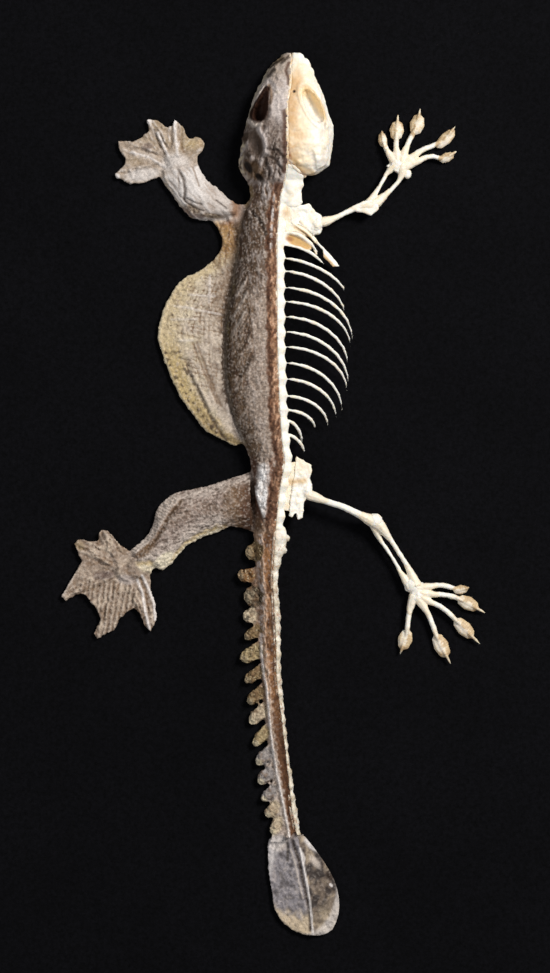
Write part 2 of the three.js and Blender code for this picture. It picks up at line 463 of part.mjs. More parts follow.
function spine() {
  const beside = (y) => read(MIDLINE, y) + 1.6;
  const neck = vertebrae(64.6, 56.5, (y) => read(NECK_EDGE, y), { step: 1, pitch: 2.4, deep: 3 });
  add("neck_bones", neck.trimByPlane(NAPE.across.map((value) => -value), GAP / 2 - NAPE.at), BONE);

  const trunk = [vertebrae(56.2, 5.9, beside)];
  for (const [rootY, tipX, tipY, bend] of RIBS) {
    const rootX = read(MIDLINE, rootY) + 0.9;
    const line = [0, 0.2, 0.4, 0.6, 0.8, 1].map((s) => {
      const turn = 0.5 * Math.PI * s;
      const height = lerp(1, read(BACK, rootY) - 1.2, Math.pow(Math.cos(turn), 0.8));
      const [out, back] = [Math.sin(turn), Math.cos(turn)].map((share) => Math.pow(share, bend));
      return over(lerp(rootX, tipX, out), lerp(tipY, rootY, back), height);
    });
    trunk.push(limb(line, (s) => [lerp(0.42, 0.27, s), lerp(0.36, 0.27, s)], { sides: 5, rings: 8 }));
  }
  for (const points of SHORT_RIBS) {
    trunk.push(limb(points.map((point) => over(...point)), () => [0.38, 0.3], { sides: 5, rings: 6 }));
  }
  trunk.push(plate(TISSUE, 0.5, (x) => lerp(5.4, 4.6, clamp((x - 2) / 5, 0, 1))));
  add("trunk_ribs", join(trunk), BONE);

  add("sacrum", vertebrae(5.6, -8.6, beside), BONE);
  const tail = vertebrae(-8.9, -69.9, (y) => read(BONE_TAIL_EDGE, y), { step: 1.3, pitch: 2.6, deep: 9, bump: 0.12 });
  const spurs = [[2.4, -10.4], [1.8, -12.9]].map(([x, y]) => egg(x, y, 2.6, 0.75, 0.7, 1.1, [0, 1], 6));
  add("tail_bones", join([tail, ...spurs]), BONE);
}

// Thin flat bones of the shoulder and the hips, which slope down from the spine to the limb.
function girdles() {
  const blade = plate(SHOULDER, 1.3, (x) => lerp(4.6, 2.7, clamp((x - 2) / 7, 0, 1)));
  const socket = egg(8.4, 52.2, 3.7, 1.7, 1.2, 1.1, [0.2, 1]);
  const hip = plate(PELVIS, 1.2, (x) => lerp(3.5, 2.7, clamp((x - 3) / 4, 0, 1)));
  const cup = egg(6.3, -0.9, 3.5, 1.5, 1.2, 1.2, [0.3, 1]);
  return { shoulder: blade.add(socket), pelvis: hip.add(cup) };
}

// A digit of the bone side: its bones, the scaly pad under the toe's end and the claw.
function digit({ line, pad, claw }, knuckle) {
  const [padX, padY, halfLong, halfWide] = pad;
  const aim = [claw[0] - line.at(-1)[0], claw[1] - line.at(-1)[1]];
  const joints = [...line, [padX, padY]].map(([x, y], i) => over(x, y, lerp(1.5, 1.1, i / 4)));
  const bones = limb(joints, shaft(0.5, 0.75, 0.65), { sides: 6, rings: 7 });
  const scale = egg(padX, padY, 0.75, halfLong, halfWide, 0.6, aim);
  const nail = limb([over(padX, padY, 1), over(lerp(padX, claw[0], 0.6), lerp(padY, claw[1], 0.6), 1.1), over(...claw, 0.6)],
    (s) => [lerp(0.55, 0.1, s), lerp(0.5, 0.1, s)], { sides: 6, rings: 4 });
  const whole = offBoard(join([bones, scale, nail]));
  const [from, to] = [over(...line[0], 1.3), over(...line[1], 1.3)];
  const point = from.clone().lerp(to, knuckle);
  const direction = to.clone().sub(from);
  return { stub: before(bones, point, direction), rest: beyond(whole, point, direction) };
}

function boneLimbs() {
  const { shoulder, pelvis } = girdles();
  const path = (points) => points.map((point) => over(...point));
  const crest = plate(ELBOW_CREST, 1.5, () => 1.5);
  const humerus = limb(path(HUMERUS), shaft(0.5, 1.05, 1.35, 0.8)).add(crest);
  const kneecap = egg(20, -6.9, 3, 1.6, 1.5, 1.1, [1, -0.4]);
  const femur = limb(path(FEMUR), shaft(0.62, 1, 1.4, 0.8), { rings: 12 }).add(kneecap);
  const forearm = [limb(path(RADIUS), shaft(0.34, 0.75, 0.65)), limb(path(ULNA), shaft(0.4, 0.95, 0.65))];
  const shin = [limb(path(TIBIA), shaft(0.42, 1.05, 0.8)), limb(path(FIBULA), shaft(0.31, 1, 0.65))];

  const joints = {
    shoulder: [over(9.7, 52.7, 3.4), new THREE.Vector3(1, 0.3, 0)],
    elbow: [over(20, 56.9, 2), new THREE.Vector3(0.55, 0.83, 0)],
    wrist: [over(24.4, 62.7, 1.6), new THREE.Vector3(0.5, 0.86, 0)],
    hip: [over(7.5, -1.9, 3.7), new THREE.Vector3(0.95, -0.3, 0)],
    knee: [over(20.8, -8.1, 2.6), new THREE.Vector3(0.5, -0.86, 0)],
    ankle: [over(27, -18.6, 1.6), new THREE.Vector3(0.5, -0.86, 0)],
  };
  add("shoulder_blade", before(shoulder, ...joints.shoulder), BONE);
  const bar = limb(path(BREAST_BAR), shaft(0.28, 0.34, 0.38), { sides: 6, rings: 8 });
  add("breast_bar", bar.add(plate(BAR_TISSUE, 0.5, (x) => lerp(2.4, 1.5, clamp((x - 9.6) / 3.2, 0, 1)))), BONE);
  add("humerus", before(beyond(humerus, ...joints.shoulder), ...joints.elbow), BONE);
  add("pelvis", before(pelvis, ...joints.hip), BONE);
  add("femur", before(beyond(femur, ...joints.hip), ...joints.knee), BONE);
  ["radius", "ulna"].forEach((name, i) => {
    add(name, offBoard(before(beyond(forearm[i], ...joints.elbow), ...joints.wrist)), BONE);
  });
  ["tibia", "fibula"].forEach((name, i) => {
    add(name, offBoard(before(beyond(shin[i], ...joints.knee), ...joints.ankle)), BONE);
  });
  paw("hand", FINGERS, "finger", WRIST_LUMPS.map((lump) => egg(...lump)), joints.wrist, 0.86);
  paw("foot", TOES, "toe", ANKLE_LUMPS.map((lump) => egg(...lump)), joints.ankle, 0.68);
}

// The palm or sole with the stubs of its digits, and the digits beyond their knuckles.
function paw(name, digits, digitName, lumps, joint, knuckle) {
  const made = digits.map((spec) => digit(spec, knuckle));
  const palm = beyond(join([...lumps, ...made.map((one) => one.stub)]), ...joint);
  add(name + "_bones", offBoard(palm), BONE);
  made.forEach((one, i) => add(digitName + "_" + (i + 1), one.rest, BONE));
}

board();
skinHead();
skull();
lowerJaw();
skinBody();
flankFlap();
skinLimbs();
skinFeet();
skinTail();
endFlap();
spine();
boneLimbs();

export default specimen;
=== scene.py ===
# A dried flying gecko, its left half in the skin and its right half cleaned to the bones,
# lying spread out on a flat black board. Sizes are in millimetres here, and each finished
# piece is scaled to metres at the end of its making.
import math

import bpy
import numpy as np
from mathutils import Matrix, Vector, noise
from mathutils.bvhtree import BVHTree


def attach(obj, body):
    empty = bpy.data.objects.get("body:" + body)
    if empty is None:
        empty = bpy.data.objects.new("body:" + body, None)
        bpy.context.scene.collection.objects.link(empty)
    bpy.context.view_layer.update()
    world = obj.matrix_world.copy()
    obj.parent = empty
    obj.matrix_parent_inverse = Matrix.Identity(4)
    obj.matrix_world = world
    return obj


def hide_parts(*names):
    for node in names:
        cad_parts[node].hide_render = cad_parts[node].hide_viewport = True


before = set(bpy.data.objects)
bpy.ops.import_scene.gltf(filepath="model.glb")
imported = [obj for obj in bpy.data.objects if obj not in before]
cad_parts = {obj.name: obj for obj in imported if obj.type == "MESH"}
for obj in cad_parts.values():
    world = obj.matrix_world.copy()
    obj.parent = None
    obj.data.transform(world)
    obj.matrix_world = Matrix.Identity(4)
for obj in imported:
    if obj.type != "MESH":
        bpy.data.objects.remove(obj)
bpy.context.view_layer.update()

MM = 0.001
BOARD_TOP = 5.0
SKIN_VOXEL = 0.252  # size of the skin's small faces
GRISTLE_VOXEL = 0.14
CAMERA_HEIGHT = 0.8  # metres from the camera to the animal
PICTURE_WIDTH = 0.110  # metres across the picture at the height of the animal

# The line between skin and bone seen from above, and the skin's outer edge, as [y, x].
MIDLINE = [
    [86.8, 3.1], [80, 3.1], [76, 2.4], [66, 2.5], [63.5, 2.3], [60.6, 1.7], [57.4, 0.8], [49, 0.2],
    [29, 0.3], [17, 0.7], [9, 1.2], [5, 1.8], [2, 1.3], [-1.6, 0.6], [-8.6, 0], [-19, -0.6],
    [-30, 0], [-39, 0.2], [-45.4, 1], [-58.7, 2.6], [-65, 3.2], [-70, 4.2], [-80, 5.8], [-90, 7.5],
]
SKIN_EDGE = [
    [86.8, 2], [86.1, 1], [85.3, -0.4], [82, -2.2], [78, -4.3], [73.5, -5.6], [69, -6.7],
    [64.3, -7.3], [62.5, -6.7], [61, -5.4], [58, -4.9], [55.5, -6.3], [53, -7.2], [47, -7.8],
    [40, -8.8], [34.8, -9.8], [24.5, -10.2], [19, -9.8], [14, -8.5], [9, -6.4], [4.5, -4.8],
    [2, -4.5], [-9, -4.3], [-14, -4.1], [-20, -3.3], [-33, -3], [-45, -2.2], [-58.7, -0.5],
    [-65, 0.8], [-70.4, 1.9],
]
# The flying skin's outer edge, as [y, x].
FLAP_RIM = [
    [53, -12.3], [50.8, -11], [48.6, -10.5], [46.4, -11.4], [44.4, -13.4], [42.6, -16],
    [41.6, -18.4], [39.3, -20.4], [36.2, -22], [32.7, -23.1], [29.3, -23.5], [25.6, -22.2],
    [21.7, -20.8], [17.6, -18.8], [13.8, -16], [10.8, -13.6], [9.3, -10.4], [8, -8],
]
# The brown groove of the tail begins here, and a pale ridge runs here, both as [y, x].
GROOVE = [
    [-10, -2.2], [-20, -2], [-23, -1.4], [-26, -1.7], [-30, -1.8], [-34, -1.4], [-40, -0.85],
    [-46, -0.45], [-51, 0.15], [-58, 1.2], [-62, 1.8], [-65, 2.3], [-70.5, 3.2],
]
RIDGE = [
    [-30, -2.9], [-33.5, -2.7], [-38.4, -2.15], [-39.8, -1.75], [-46.9, -1.14], [-54.1, -0.29],
    [-59.2, 0.71], [-64.9, 1.86], [-70.8, 3.0],
]
# Lobes of the tail, as [x, y, half length, half width, lean, tone]. A lean of 0 degrees points left.
LOBES = [
    [-4.4, -13.2, 1.7, 1.7, 10, "lobe khaki"], [-6, -17.9, 1.6, 1.35, 0, "lobe rust"],
    [-4.6, -22.1, 1.75, 2, 0, "lobe dark"], [-5.2, -26, 1.3, 1.4, 0, "lobe pale"],
    [-4.7, -29.6, 1.9, 1.1, 35, "lobe khaki"], [-5, -33.8, 2.3, 1.5, 35, "lobe gold"],
    [-4.4, -38, 2.1, 1.2, 40, "lobe khaki"], [-4.1, -42.2, 2.1, 1.2, 45, "lobe khaki"],
    [-3.7, -46.1, 2.2, 1.3, 50, "lobe pale"], [-3, -50.4, 2.1, 1.15, 55, "lobe gold"],
    [-2.4, -54.4, 2, 1.25, 50, "lobe grey"], [-2.1, -58.3, 1.9, 1.25, 50, "lobe grey"],
    [-1.4, -61.8, 1.9, 1.1, 50, "lobe grey"], [-0.7, -65, 1.8, 1.1, 55, "lobe pale"],
    [0.1, -68.1, 1.8, 1, 65, "lobe pale"],
]
# Digits of the skin side from the wrist or ankle to their tips, as [x, y].
WRIST = (-20.4, 64.4)
HAND_TIPS = [(-15.2, 68.7), (-20, 73), (-25.2, 73), (-31.5, 69), (-31.5, 62)]
ANKLE = (-29.2, -16.4)
FOOT_TIPS = [(-34.3, -9.2), (-40, -11.2), (-42.6, -22.4), (-35.6, -30.6), (-25, -29)]
# The eye's opening in the bone, as [x, y, half length, half width, lean].
RIGHT_EYE = [7.6, 75.7, 4.1, 1.7, 117.3]
# Toe pads of the bone side, as [x, y, half length, half width, claw tip x, claw tip y].
FINGER_PADS = [
    [21.6, 69.4, 1.6, 0.95, 21.4, 71.4], [24.4, 71.3, 2.1, 1.5, 24.7, 74.7],
    [28.5, 72.5, 2.3, 1.5, 29.2, 76], [34.2, 69.6, 2.6, 1.2, 36.3, 72.3],
    [34.4, 65.9, 1.7, 1, 36.6, 67.2],
]
TOE_PADS = [
    [37.2, -20.8, 1.6, 0.95, 39.1, -20.3], [38.7, -23.5, 2.5, 1.4, 42.4, -25.6],
    [37.9, -28.5, 2.8, 1.5, 41.4, -32], [33.3, -32, 2.8, 1.55, 35.4, -36],
    [26.1, -30.8, 2.3, 1.5, 25, -34],
]
# Dried gristle that wraps the joints of the limbs from one bone to the next, as rows of
# [x, y, height, half thickness]: shoulder, elbow, wrist, hip, knee and ankle.
SLEEVES = [
    [[8.4, 52.4, 3.5, 0.8], [9.8, 52.8, 3.4, 1.15], [11.3, 53.3, 3.2, 0.75], [13, 54.1, 3, 0.4]],
    [[15.8, 55.3, 2.5, 0.4], [18.2, 56, 2.2, 1.15], [20.1, 56.5, 2, 1.15], [21.7, 57.9, 1.9, 0.75],
     [23.4, 59.6, 1.7, 0.36]],
    [[18.4, 56.3, 2.1, 0.85], [19.8, 58, 2, 0.65], [21, 60.2, 1.8, 0.3]],
    [[21.9, 61.8, 1.7, 0.3], [22.9, 63.5, 1.6, 0.7], [24.4, 64.4, 1.5, 1.1]],
    [[24.6, 61, 1.7, 0.34], [25.9, 62.6, 1.6, 0.85], [25.3, 64.3, 1.5, 1.3]],
    [[6, -1.6, 3.6, 0.9], [7.5, -2, 3.7, 1.15], [9.2, -2.7, 3.8, 0.75], [11, -3.3, 4, 0.5]],
    [[16, -5.3, 3.6, 0.5], [18.6, -6.6, 3, 1.2], [20.6, -7.5, 2.6, 1.35], [21.8, -8.9, 2.5, 0.95],
     [23.4, -11.2, 2.3, 0.38]],
    [[19.5, -7.4, 2.5, 0.9], [20.4, -9.6, 2.1, 0.6], [21.8, -11.9, 1.9, 0.28]],
    [[25.9, -15, 1.9, 0.38], [27.5, -17.8, 1.7, 0.85], [28.2, -20, 1.6, 1.3]],
    [[24.4, -16, 1.7, 0.28], [25.9, -18.6, 1.6, 0.7], [27.2, -20.2, 1.5, 1.2]],
]
# The first joints of the digits of the bone side, as [x, y] from the wrist or ankle outwards.
DIGIT_ROOTS = [
    [(24.3, 64.6), (22.9, 66.3), (22.3, 67.7)], [(24.6, 64.8), (24.3, 66.8), (24.3, 68.5)],
    [(25.2, 64.8), (26, 67.1), (26.8, 68.8)], [(25.2, 64), (27.9, 66.3), (29.7, 67.4)],
    [(25.2, 63.6), (28.3, 65), (30.4, 65.8)], [(28.4, -20.6), (31, -20.1), (32.9, -19.9)],
    [(28.8, -21.3), (31.2, -21.7), (33.2, -21.8)], [(28.6, -21.8), (30.6, -23), (32.3, -23.8)],
    [(28.4, -22.2), (30.1, -24.5), (30.9, -26.1)], [(27.9, -21.8), (27, -24.5), (26.8, -26.1)],
]

FLESH = [
    "head_skin", "neck_skin", "torso_skin", "hip_skin", "flank_flap", "upper_arm_skin",
    "forearm_skin", "hand_skin", "thigh_skin", "shank_skin", "foot_skin", "tail_skin_front",
    "tail_skin_rear", "tail_end_left", "tail_end_right",
]
SPINE = ["neck_bones", "trunk_ribs", "sacrum", "tail_bones"]

# Tones seen on the specimen, as red, green and blue of 255. Two of them, for the hips' bleached patch and for
# the eye's opening in the bone, are made lighter than the specimen's own, as painted light.
TONES = {
    "grey": (164, 145, 130), "brown": (114, 86, 58), "dark": (58, 40, 24),
    "upper skin": (104, 86, 74), "pale": (204, 190, 178), "lilac": (196, 184, 178),
    "bleached": (234, 226, 221), "umber": (84, 54, 38),
    "rust": (130, 80, 50), "line": (44, 30, 20), "flap grey": (202, 186, 168),
    "flap beige": (211, 195, 167), "flap yellow": (198, 174, 124), "amber": (164, 122, 72),
    "pale amber": (212, 176, 126), "hollow": (26, 13, 5), "olive hollow": (44, 34, 22),
    "olive": (112, 98, 50), "flesh brown": (146, 108, 80), "salmon": (204, 164, 134),
    "white skin with painted light": (252, 247, 243), "deep peach": (204, 164, 116), "orbit amber with painted light": (236, 198, 126),
    "eye": (48, 23, 9), "arm": (206, 198, 192), "hand": (174, 157, 140), "khaki": (146, 124, 90),
    "leg": (148, 130, 120), "foot": (152, 133, 117), "foot pale": (198, 180, 160),
    "heel": (228, 216, 190), "violet": (96, 78, 74),
    "lobe khaki": (134, 110, 76), "lobe rust": (128, 90, 50), "lobe dark": (98, 82, 64),
    "lobe pale": (190, 172, 146), "lobe gold": (166, 146, 108), "lobe grey": (148, 140, 136),
    "lobe tip": (220, 206, 174), "band": (166, 142, 118), "groove": (140, 98, 62),
    "groove dark": (74, 44, 24),
    "tail end": (140, 134, 137), "end dark": (58, 50, 46), "end brown": (108, 94, 82),
    "end tan": (200, 180, 152),
    "ivory": (245, 240, 229), "cream": (240, 221, 190), "peach": (218, 182, 138),
    "bone amber": (200, 160, 98), "bone stain": (150, 92, 52), "bone lilac": (218, 208, 198),
    "tail bone": (190, 176, 152),
    "pad": (214, 190, 152), "pad dark": (156, 122, 84), "claw": (230, 214, 184),
}


def tone(name):
    """A named tone as linear red, green and blue."""
    values = np.array(TONES[name]) / 255
    return np.where(values <= 0.04045, values / 12.92, ((values + 0.055) / 1.055) ** 2.4)


def read(table, y):
    """The value at each y of a table of [y, value] rows."""
    rows = sorted(table)
    return np.interp(y, [row[0] for row in rows], [row[1] for row in rows])


def ramp(value, low, high):
    """0 up to low, 1 from high, and a smooth step between them. It falls where low is above high."""
    share = np.clip((value - low) / (high - low), 0, 1)
    return share * share * (3 - 2 * share)


def near(value, middle, reach):
    """1 at a middle value, falling to 0 at a distance of reach."""
    return 1 - ramp(np.abs(value - middle), 0, reach)


def grain(points, scale, seed=0.0, detail=3):
    """Fractal noise of about -1 to 1 at each point. scale is the size of its lumps."""
    moved = points / np.array(scale) + seed * 17.3
    return np.array([noise.fractal(Vector(row), 0.9, 2.0, detail) for row in moved]) * 1.4


def cells(points, size, seed=0.0):
    """Distance from each point to the nearest of many scattered seeds, about 0 to 1."""
    moved = points / size + seed * 11.7
    return np.array([noise.voronoi(Vector(row))[0][0] for row in moved])


class Surface:
    """A piece's outside while it is shaped and painted, in the region that is worked on."""

    def __init__(self, piece, base="ivory"):
        self.piece = piece
        count = len(piece.data.vertices)
        edges = np.empty(2 * len(piece.data.edges), dtype=np.int32)
        piece.data.edges.foreach_get("vertices", edges)
        self.edges = edges.reshape(-1, 2)
        places = np.empty(count * 3)
        piece.data.vertices.foreach_get("co", places)
        self.places = places.reshape(-1, 3)
        normals = np.empty(count * 3, dtype=np.float32)
        piece.data.vertex_normals.foreach_get("vector", normals)
        self.normals = normals.reshape(-1, 3).astype(float)
        self.x, self.y, self.z = self.places.copy().T
        self.up = ramp(self.normals[:, 2], 0.0, 0.5)
        self.lift = np.zeros(count)
        self.swell = np.zeros(count)
        self.region = np.ones(count)
        self.speck = np.ones(count)
        self.colour = np.tile(tone(base), (count, 1))

    def on(self, region, rounds=12):
        """Later paint and shaping stay in this region, whose edge fades over a few vertices."""
        first, second = self.edges.T
        count = len(self.x)
        neighbours = np.maximum(np.bincount(self.edges.ravel(), minlength=count), 1)
        soft = region.astype(float)
        for _ in range(rounds):
            around = np.bincount(first, soft[second], count) + np.bincount(second, soft[first], count)
            soft = 0.4 * soft + 0.6 * around / neighbours
        self.region = soft

    def paint(self, name, amount):
        share = (np.clip(amount, 0, 1) * self.region)[:, None]
        self.colour = self.colour * (1 - share) + tone(name) * share

    def raise_by(self, height):
        self.lift += height * self.region

    def set_speck(self, amount):
        self.speck = self.speck * (1 - self.region) + amount * self.region

    def oval(self, x, y, long, wide, lean=0.0):
        """Distance from an oval's middle, 1 on its outline. A lean of 0 degrees lies along x."""
        turn = math.radians(lean)
        dx, dy = self.x - x, self.y - y
        along = dx * math.cos(turn) + dy * math.sin(turn)
        across = dy * math.cos(turn) - dx * math.sin(turn)
        return np.hypot(along / long, across / wide)

    def drop(self, big, small):
        """Distance in a drop round two circles [x, y, radius], 1 on its outline."""
        (ax, ay, wide), (bx, by, narrow) = big, small
        dx, dy = bx - ax, by - ay
        share = np.clip(((self.x - ax) * dx + (self.y - ay) * dy) / (dx * dx + dy * dy), 0, 1)
        away = np.hypot(self.x - ax - share * dx, self.y - ay - share * dy)
        return away / (wide + share * (narrow - wide))

    def patch(self, x, y, long, wide, lean=0.0, soft=0.5):
        """1 in an oval, falling to 0 at its outline over a soft share of its size."""
        return ramp(self.oval(x, y, long, wide, lean), 1, 1 - soft)

    def side(self, points):
        """Signed distance from a line through points, on its left side above 0."""
        best = np.full(len(self.x), 1e6)
        signed = np.zeros(len(self.x))
        for (ax, ay), (bx, by) in zip(points, points[1:]):
            length = math.hypot(bx - ax, by - ay)
            ux, uy = (bx - ax) / length, (by - ay) / length
            dx, dy = self.x - ax, self.y - ay
            share = np.clip(dx * ux + dy * uy, 0, length)
            distance = np.hypot(dx - share * ux, dy - share * uy)
            closer = distance < best
            best = np.where(closer, distance, best)
            signed = np.where(closer, np.where(ux * dy - uy * dx > 0, distance, -distance), signed)
        return signed

    def stroke(self, points, width):
        """1 on a line through points, falling to 0 at a distance of width."""
        return 1 - ramp(np.abs(self.side(points)), 0.15 * width, width)

    def crease(self, points, width, amount=0.8, depth=0.15, name="line"):
        mark = self.stroke(points, width)
        self.paint(name, amount * mark)
        self.raise_by(-depth * mark)

    def ridge(self, points, width, amount=0.8, height=0.15, name="pale"):
        self.crease(points, width, amount, -height, name)

    def streaks(self, lean, long, wide, seed):
        """Noise drawn out along a direction, about -1 to 1."""
        turn = math.radians(lean)
        along = self.x * math.cos(turn) + self.y * math.sin(turn)
        across = self.y * math.cos(turn) - self.x * math.sin(turn) + 0.3 * self.coarse
        return grain(np.stack([along, across, 0.37 * along], 1), (long, wide, long), seed)

    def speckle(self, strength):
        """Pale granules with darker skin between them."""
        self.paint("pale", strength * ramp(self.fine, 0.15, 0.75))
        self.paint("dark", 0.8 * strength * ramp(self.fine, -0.15, -0.75))
        self.raise_by(0.1 * self.fine + 0.08 * self.medium)

    def settle(self):
        """Moves the vertices and stores their colours."""
        moved = self.places + self.normals * self.swell[:, None]
        moved[:, 2] += self.lift * self.up
        moved[:, 2] = np.maximum(moved[:, 2], BOARD_TOP + 0.02)
        self.piece.data.vertices.foreach_set("co", moved.ravel())
        self.piece.data.update()
        layer = self.piece.data.color_attributes.new("Tint", "FLOAT_COLOR", "POINT")
        rgba = np.column_stack([np.clip(self.colour, 0, 1), np.clip(self.speck, 0, 1)])
        layer.data.foreach_set("color", rgba.ravel())


# Building pieces from the solids

def activate(piece):
    bpy.ops.object.select_all(action="DESELECT")
    piece.select_set(True)
    bpy.context.view_layer.objects.active = piece


def modify(piece, kind, **settings):
    """Adds a modifier and applies it."""
    activate(piece)
    modifier = piece.modifiers.new(kind.title(), kind)
    for key, value in settings.items():
        setattr(modifier, key, value)
    bpy.ops.object.modifier_apply(modifier=modifier.name)


def edit_whole(piece, step, **settings):
    """Does one edit-mode step on the whole mesh of a piece."""
    activate(piece)
    bpy.ops.object.mode_set(mode="EDIT")
    bpy.ops.mesh.select_all(action="SELECT")
    step(**settings)
    bpy.ops.object.mode_set(mode="OBJECT")


def copy_solid(name):
    """A merged copy of one CAD solid, in millimetres."""
    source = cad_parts[name]
    piece = bpy.data.objects.new(name + "_copy", source.data.copy())
    bpy.context.collection.objects.link(piece)
    piece.data.materials.clear()
    piece.data.transform(Matrix.Scale(1 / MM, 4) @ source.matrix_world)
    edit_whole(piece, bpy.ops.mesh.remove_doubles, threshold=0.002)
    return piece


def lump(x, y, height, size, stretch=(1, 1, 1), lean=0.0):
    """A small rounded lump at a height over the board."""
    bpy.ops.object.select_all(action="DESELECT")
    bpy.ops.mesh.primitive_uv_sphere_add(
        segments=16, ring_count=10, radius=size, location=(x, y, BOARD_TOP + height))
    piece = bpy.context.active_object
    piece.scale = stretch
    piece.rotation_euler = (0, 0, math.radians(lean))
    bpy.ops.object.transform_apply(location=True, rotation=True, scale=True)
    return piece


def strand(points, radii):
    """A round strand through points of [x, y, height], thick as the radii say at each point."""
    curve = bpy.data.curves.new("strand", "CURVE")
    curve.dimensions = "3D"
    curve.bevel_depth = 1.0
    curve.bevel_resolution = 2
    curve.use_fill_caps = True
    spline = curve.splines.new("NURBS")
    spline.points.add(len(points) - 1)
    for point, (x, y, height), radius in zip(spline.points, points, radii):
        point.co = (x, y, BOARD_TOP + height, 1)
        point.radius = radius
    spline.use_endpoint_u = True
    spline.order_u = 3
    piece = bpy.data.objects.new("strand", curve)
    bpy.context.collection.objects.link(piece)
    activate(piece)
    bpy.ops.object.convert(target="MESH")
    return bpy.context.active_object


def sheet(outline, thick, height, fall=0.0):
    """A flat piece of dried tissue with an outline of [x, y]. It falls to the right from x = 2."""
    mesh = bpy.data.meshes.new("sheet")
    under = [(x, y, BOARD_TOP + height - fall * max(x - 2, 0)) for x, y in outline]
    over = [(x, y, z + thick) for x, y, z in under]
    count = len(outline)
    faces = [list(range(count)), [count + i for i in reversed(range(count))]]
    for i in range(count):
        after = (i + 1) % count
        faces.append([i, count + i, count + after, after])
    mesh.from_pydata(under + over, [], faces)
    piece = bpy.data.objects.new("sheet", mesh)
    bpy.context.collection.objects.link(piece)
    edit_whole(piece, bpy.ops.mesh.normals_make_consistent, inside=False)
    return piece


def join(pieces, name):
    bpy.ops.object.select_all(action="DESELECT")
    for piece in pieces:
        piece.select_set(True)
    bpy.context.view_layer.objects.active = pieces[0]
    if len(pieces) > 1:
        bpy.ops.object.join()
    pieces[0].name = name
    return pieces[0]


def knead(pieces, name, voxel, swell=0.0, grown=0.0, smooth=4):
    """Joins pieces into one even mesh of small faces. swell closes the gaps between them."""
    piece = join(pieces, name)
    if swell:
        modify(piece, "DISPLACE", strength=swell, mid_level=0)
    modify(piece, "REMESH", mode="VOXEL", voxel_size=voxel)
    if grown != swell:
        modify(piece, "DISPLACE", strength=grown - swell, mid_level=0)
    modify(piece, "SMOOTH", factor=0.5, iterations=smooth)
    return piece


def thin_underside(piece, kept=0.06):
    """Fewer faces where a piece lies on the board and nothing shows."""
    activate(piece)
    bpy.ops.object.mode_set(mode="EDIT")
    bpy.ops.mesh.select_all(action="DESELECT")
    bpy.ops.object.mode_set(mode="OBJECT")
    for face in piece.data.polygons:
        face.select = face.normal.z < -0.97 and face.center.z < BOARD_TOP + 0.45
    bpy.ops.object.mode_set(mode="EDIT")
    bpy.ops.mesh.select_mode(type="FACE")
    bpy.ops.mesh.decimate(ratio=kept)
    bpy.ops.object.mode_set(mode="OBJECT")


def finish_piece(piece, material, nodes=()):
    """Scales a piece to metres, gives it its finish and lets it stand for its CAD solids."""
    piece.data.transform(Matrix.Scale(MM, 4))
    piece.data.materials.clear()
    piece.data.materials.append(material)
    activate(piece)
    bpy.ops.object.shade_smooth()
    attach(piece, "root")
    if nodes:
        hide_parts(*nodes)


# Materials

class Finish:
    """A material under construction, with short ways to add its nodes."""

    def __init__(self, name):
        self.material = bpy.data.materials.new(name)
        self.material.use_nodes = True
        self.nodes = self.material.node_tree.nodes
        self.shader = self.nodes["Principled BSDF"]
        self.place = self.nodes.new("ShaderNodeTexCoord").outputs["Object"]

    def fill(self, node, inputs):
        """Gives a node's inputs numbers, or joins them to outputs of other nodes."""
        for name, value in inputs.items():
            if isinstance(value, bpy.types.NodeSocket):
                self.material.node_tree.links.new(value, node.inputs[name])
            else:
                node.inputs[name].default_value = value

    def add(self, kind, inputs, operation=None):
        node = self.nodes.new("ShaderNode" + kind)
        if operation:
            node.operation = operation
        self.fill(node, inputs)
        return node

    def noise(self, scale, detail=4.0, roughness=0.55):
        inputs = {"Vector": self.place, "Scale": scale, "Detail": detail, "Roughness": roughness}
        return self.add("TexNoise", inputs).outputs["Fac"]

    def mapped(self, source, low, high, to_low, to_high):
        """A value stretched from one range to another."""
        inputs = {"Value": source, "From Min": low, "From Max": high, "To Min": to_low, "To Max": to_high}
        return self.add("MapRange", inputs).outputs["Result"]

    def scaled(self, colour, factor):
        """A colour made lighter or darker by a number."""
        return self.add("VectorMath", {0: colour, "Scale": factor}, "SCALE").outputs[0]

    def bump(self, height, distance):
        return self.add("Bump", {"Height": height, "Distance": distance}).outputs["Normal"]


def board_finish():
    """Matt black card with a fine fibrous grain."""
    card = Finish("black_card")
    fibres = card.noise(1500, 5, 0.7)
    blacks = card.add("ValToRGB", {"Fac": fibres})
    for stop, position, colour in zip(blacks.color_ramp.elements, (0.3, 0.75),
                                      ((0.0008, 0.0008, 0.001, 1), (0.0042, 0.0041, 0.0055, 1))):
        stop.position = position
        stop.color = colour
    cloud = card.mapped(card.noise(45, 3), 0.3, 0.7, 0.85, 1.15)
    card.fill(card.shader, {
        "Base Color": card.scaled(blacks.outputs["Color"], cloud), "Roughness": 0.85,
        "Specular IOR Level": 0.06, "Normal": card.bump(fibres, 0.00006),
    })
    return card.material


